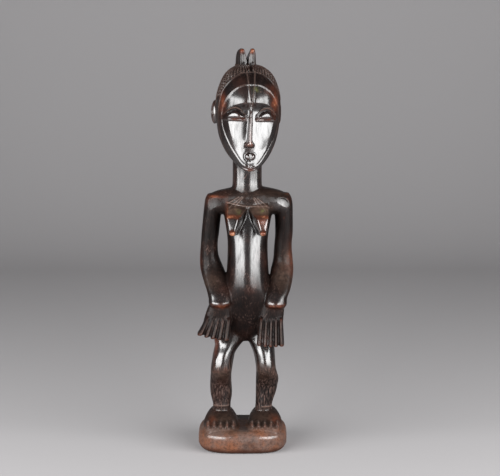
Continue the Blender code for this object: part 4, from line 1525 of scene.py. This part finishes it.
def scratched(tree, colour):
    groups = ramp(tree, noise(tree, even, 55, 3), 0.46, 0.62)
    groups = product(tree, groups, maths(tree, "SUBTRACT", 1.0, coat["hair"]))
    for lean in SCRATCH_LEANS:
        thin = noise(tree, stretched(tree, (1, 1, 0.05), (0, math.radians(lean), 0)), 1300, 2)
        scratches = product(tree, groups, ramp(tree, thin, 0.63, 0.70, 0, 0.6))
        colour = laid_over(tree, scratches, colour, SCRAPED_PALE)
    flecks = ramp(tree, noise(tree, even, 800, 2), 0.66, 0.73, 0, 0.5)
    return laid_over(tree, flecks, colour, STREAK)


ground = scratched(patina, dark_ground(patina))
print("ground of", len(patina.nodes), "nodes")

# %% [markdown]
# ## Worn wood, plaits and the bare plinth
#
# Over the ground come dull brown patches, red wood with pale specks on the worn edges, and paler ridges on
# the plaits, partly rubbed wood and partly a painted highlight. The plinth lost its coat altogether: it is
# mottled brown and grey, clouded with dark, and darker and redder towards its foot.

# %% Worn and bare wood
BROWNED = (0.095, 0.058, 0.042, 1)
WORN_RED = (0.150, 0.040, 0.018, 1)
WORN_PALE = (0.330, 0.150, 0.080, 1)
# Pale ridges of the plaits: partly rubbed wood, partly a painted highlight.
PLAIT_RIDGE_PALE = (0.075, 0.052, 0.044, 1)
BARE_BROWN = (0.145, 0.058, 0.031, 1)
BARE_GREY = (0.095, 0.062, 0.051, 1)
BARE_DARK = (0.022, 0.011, 0.008, 1)
RIM_RED = (0.045, 0.015, 0.008, 1)


def worn_wood(tree, colour):
    patches = ramp(tree, noise(tree, even, 240, 8, 0.7), 0.3, 0.7, 0.25, 1.0)
    colour = laid_over(tree, product(tree, coat["browned"], patches), colour, BROWNED)
    patches = ramp(tree, noise(tree, even, 190), 0.35, 0.65, 0.35, 0.95)
    colour = laid_over(tree, product(tree, coat["worn"], patches), colour, WORN_RED)
    specks = ramp(tree, noise(tree, even, 420), 0.46, 0.64, 0, 0.7)
    specks = product(tree, ramp(tree, coat["worn"], 0.5, 1.0), specks)
    colour = laid_over(tree, specks, colour, WORN_PALE)
    # The ridges of the plaits are painted paler: partly rubbed wood, partly a painted highlight where a ridge
    # would catch the light.
    plait_ridge_patches = ramp(tree, noise(tree, even, 130), 0.35, 0.7, 0.25, 0.95)
    plaits = product(tree, ramp(tree, coat["hair"], 0.6, 1.0), plait_ridge_patches)
    return laid_over(tree, plaits, colour, PLAIT_RIDGE_PALE)


def bare_wood(tree):
    greyed = ramp(tree, noise(tree, even, 55, 6, 0.6), 0.35, 0.65)
    colour = laid_over(tree, greyed, BARE_BROWN, BARE_GREY)
    mottled = ramp(tree, noise(tree, even, 420, 10, 0.8), 0.44, 0.66, 0, 0.75)
    clouds = ramp(tree, noise(tree, even, 70, 5, 0.6), 0.52, 0.70, 0, 0.55)
    for dark in (mottled, clouds):
        colour = laid_over(tree, dark, colour, BARE_DARK)
    # Darker and redder towards the plinth's bottom.
    return laid_over(tree, ramp(tree, coat["foot_rim"], 0.1, 0.9, 0, 0.95), colour, RIM_RED)


wood = laid_over(patina, coat["bare"], worn_wood(patina, ground), bare_wood(patina))
print("wood of", len(patina.nodes), "nodes")

# %% [markdown]
# ## Pale lines with painted highlights, olive spots and dust
#
# Last come the pale lines, a few olive spots and the dust in the hollows. The pale lines are scratches and
# rubbed wood, and on the raised lines, the lids and the finger and toe ridges partly a painted highlight.
# Then the group gives out its values. Polish makes the wood smooth and glossy, grime takes the gloss away,
# and the plinth stays dull. The sockets that don't change over the surface are set on the shader itself.

# %% Finish the patina's group
# Pale lines: real scratches and rubbed wood, and on the raised lines and ridges partly a painted highlight.
PALE_LINE_AND_PAINTED_HIGHLIGHT = (0.180, 0.125, 0.105, 1)
OLIVE = (0.120, 0.125, 0.045, 1)
DUST = (0.030, 0.021, 0.018, 1)
PALE_LINE_AND_PAINTED_HIGHLIGHT_SHARE = 0.6
ROUGHNESS, POLISH_SMOOTHS, DUST_ROUGHENS, BARE_ROUGHENS = 0.46, 0.22, 0.10, 0.1
HAIR_SHINE, LEAST_GLOSS = 0.15, 0.03


def with_pale_lines_highlights_and_dust(tree, colour):
    # Lay on the pale lines, which on the raised lines and ridges are partly a painted highlight.
    colour = laid_over(tree, product(tree, coat["pale_lines_and_painted_highlights"], PALE_LINE_AND_PAINTED_HIGHLIGHT_SHARE), colour, PALE_LINE_AND_PAINTED_HIGHLIGHT)
    spots = ramp(tree, noise(tree, even, 330, 6, 0.7), 0.35, 0.65)
    colour = laid_over(tree, product(tree, coat["olive"], spots), colour, OLIVE)
    dust = ramp(tree, noise(tree, even, 220), 0.4, 0.7, 0.05, 0.4)
    return laid_over(tree, product(tree, coat["hollow"], dust), colour, DUST)


def roughness(tree):
    smooth = maths(tree, "SUBTRACT", ROUGHNESS, product(tree, coat["polish"], POLISH_SMOOTHS))
    dusty = product(tree, coat["hollow"], DUST_ROUGHENS)
    cloudy = ramp(tree, noise(tree, even, 90), 0.3, 0.8, -0.03, 0.07)
    streaked = ramp(tree, noise(tree, grain, 260, 5, 0.7), 0.35, 0.65, -0.06, 0.08)
    return total(tree, smooth, dusty, cloudy, streaked, product(tree, coat["bare"], BARE_ROUGHENS))


def gloss(tree):
    shine = total(tree, coat["polish"], product(tree, coat["hair"], HAIR_SHINE))
    shine = ramp(tree, shine, 0, 0.8, LEAST_GLOSS, 1.0)
    shine = product(tree, shine, ramp(tree, noise(tree, grain, 330, 5, 0.7), 0.3, 0.55, 0.55, 1.0))
    return product(tree, shine, maths(tree, "SUBTRACT", 1.0, coat["grime"]))


def pores(tree):
    along = product(tree, noise(tree, grain, 700, 3), 0.6)
    return total(tree, along, product(tree, noise(tree, even, 900, 2), 0.4))


given_out = {
    "Color": with_pale_lines_highlights_and_dust(patina, wood),
    "Roughness": roughness(patina),
    "Gloss": gloss(patina),
    "Height": pores(patina),
}
add_node(patina, "NodeGroupOutput")
for name, value in given_out.items():
    patina.links.new(value, patina.nodes["Group Output"].inputs[name])
print("the whole patina has", len(patina.nodes), "nodes")

# %% [markdown]
# ## The polished wood
#
# The wood is a Principled shader with a clear coat, which is what oil and handling leave: a thin glossy
# layer over a darker one. The patina's group feeds its colour, roughness and bump.

# %% The material and the finished piece
PORE_DEPTH = 0.0002
SHEEN_IOR, COAT_IOR, COAT_ROUGHNESS = 1.18, 1.95, 0.19
SHARP_ANGLE = math.radians(60)


def polished_wood():
    material = bpy.data.materials.new("polished_dark_wood")
    material.use_nodes = True
    tree = material.node_tree
    shader = tree.nodes["Principled BSDF"]
    group = add_node(tree, "ShaderNodeGroup", {"node_tree": patina})
    height = group.outputs["Height"]
    bumps = add_node(tree, "ShaderNodeBump", Strength=0.35, Distance=PORE_DEPTH, Height=height)
    for output, inlet in (("Color", "Base Color"), ("Roughness", "Roughness"), ("Gloss", "Coat Weight")):
        tree.links.new(group.outputs[output], shader.inputs[inlet])
    tree.links.new(bumps.outputs["Normal"], shader.inputs["Normal"])
    shader.inputs["IOR"].default_value = SHEEN_IOR
    shader.inputs["Coat Roughness"].default_value = COAT_ROUGHNESS
    shader.inputs["Coat IOR"].default_value = COAT_IOR
    return material


skin.materials.append(polished_wood())
skin.shade_smooth()
skin.set_sharp_from_angle(angle=SHARP_ANGLE)
figure = bpy.data.objects.new("carved_figure", skin)
bpy.context.scene.collection.objects.link(figure)
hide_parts("spirit_figure")
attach(figure, "root")
print(figure.name, "is", np.round(1000 * np.array(figure.dimensions), 1), "mm")

# %% [markdown]
# ## The floor
#
# The figure stands on a plain pale floor that sweeps up far behind it, so that no edge shows. The floor is
# a profile of a line and a quarter turn, extruded sideways.

# %% The floor
SWEEP_FRONT, SWEEP_START, SWEEP_ROUND, SWEEP_TOP, SWEEP_WIDTH = -4.0, 1.2, 1.0, 4.0, 5.0
SWEEP_STEPS = 16
PAPER_COLOUR = (0.42, 0.41, 0.415, 1)


def sweep():
    """The floor's profile from front to back and up, pulled out sideways."""
    bm = bmesh.new()
    profile = [(SWEEP_FRONT, 0.0), (SWEEP_START, 0.0)]
    for step in range(1, SWEEP_STEPS + 1):
        turn = math.pi / 2 * step / SWEEP_STEPS
        profile.append((SWEEP_START + SWEEP_ROUND * math.sin(turn), SWEEP_ROUND * (1 - math.cos(turn))))
    profile.append((SWEEP_START + SWEEP_ROUND, SWEEP_TOP))
    row = [bm.verts.new((-SWEEP_WIDTH, y, z)) for y, z in profile]
    edges = [bm.edges.new(pair) for pair in zip(row, row[1:])]
    pulled = bmesh.ops.extrude_edge_only(bm, edges=edges)
    new = [part for part in pulled["geom"] if isinstance(part, bmesh.types.BMVert)]
    bmesh.ops.translate(bm, vec=(2 * SWEEP_WIDTH, 0, 0), verts=new)
    bmesh.ops.recalc_face_normals(bm, faces=bm.faces)
    mesh = as_mesh(bm, "studio_floor")
    mesh.shade_smooth()
    return mesh


def pale_paper():
    material = bpy.data.materials.new("pale_paper")
    material.use_nodes = True
    shader = material.node_tree.nodes["Principled BSDF"]
    shader.inputs["Base Color"].default_value = PAPER_COLOUR
    shader.inputs["Roughness"].default_value = 0.9
    return material


floor = bpy.data.objects.new("studio_floor", sweep())
floor.data.materials.append(pale_paper())
bpy.context.scene.collection.objects.link(floor)
print("floor", len(floor.data.polygons), "strips")

# %% [markdown]
# ## Light and camera
#
# Two wide soft boxes, one on each side of the camera, give the paired bright strips on the neck, cheeks and
# belly, and a dim room fills the rest. The camera was placed by comparing renders with the photograph: a
# long way off, a little above the head, and looking down by about eight degrees.

# %% Light and camera
BOX_ANGLE, BOX_DISTANCE, BOX_HEIGHT, BOX_TILT = 46, 1.4, 0.53, 8
BOX_WIDTH, BOX_TALL, BOX_POWER = 1.65, 0.82, 42
ROOM_COLOUR, ROOM_STRENGTH = (0.80, 0.78, 0.82, 1), 0.14
CAMERA_PLACE = (0.0078, -1.6, 0.44)
CAMERA_DOWN = math.radians(7.74)
CAMERA_LENS, SENSOR = 111.02, 36


def soft_box(name, azimuth):
    light = bpy.data.lights.new(name, "AREA")
    light.shape = "RECTANGLE"
    light.size, light.size_y = BOX_WIDTH, BOX_TALL
    light.energy = BOX_POWER
    lamp = bpy.data.objects.new(name, light)
    turn = math.radians(azimuth)
    lamp.location = (BOX_DISTANCE * math.sin(turn), -BOX_DISTANCE * math.cos(turn), BOX_HEIGHT)
    lamp.rotation_euler = (math.radians(90 - BOX_TILT), 0, turn)
    lamp.visible_camera = False
    bpy.context.scene.collection.objects.link(lamp)


soft_box("left_soft_box", -BOX_ANGLE)
soft_box("right_soft_box", BOX_ANGLE)

world = bpy.data.worlds.new("studio")
world.use_nodes = True
world.node_tree.nodes["Background"].inputs["Color"].default_value = ROOM_COLOUR
world.node_tree.nodes["Background"].inputs["Strength"].default_value = ROOM_STRENGTH
bpy.context.scene.world = world
bpy.context.scene.view_settings.view_transform = "Standard"

camera_data = bpy.data.cameras.new("photo_camera")
camera_data.lens, camera_data.sensor_width = CAMERA_LENS, SENSOR
camera = bpy.data.objects.new("photo_camera", camera_data)
camera.location = CAMERA_PLACE
camera.rotation_euler = (math.pi / 2 - CAMERA_DOWN, 0, 0)
bpy.context.scene.collection.objects.link(camera)
bpy.context.scene.camera = camera
print("camera", round(math.degrees(2 * math.atan(SENSOR / 2 / CAMERA_LENS)), 1), "degrees wide")
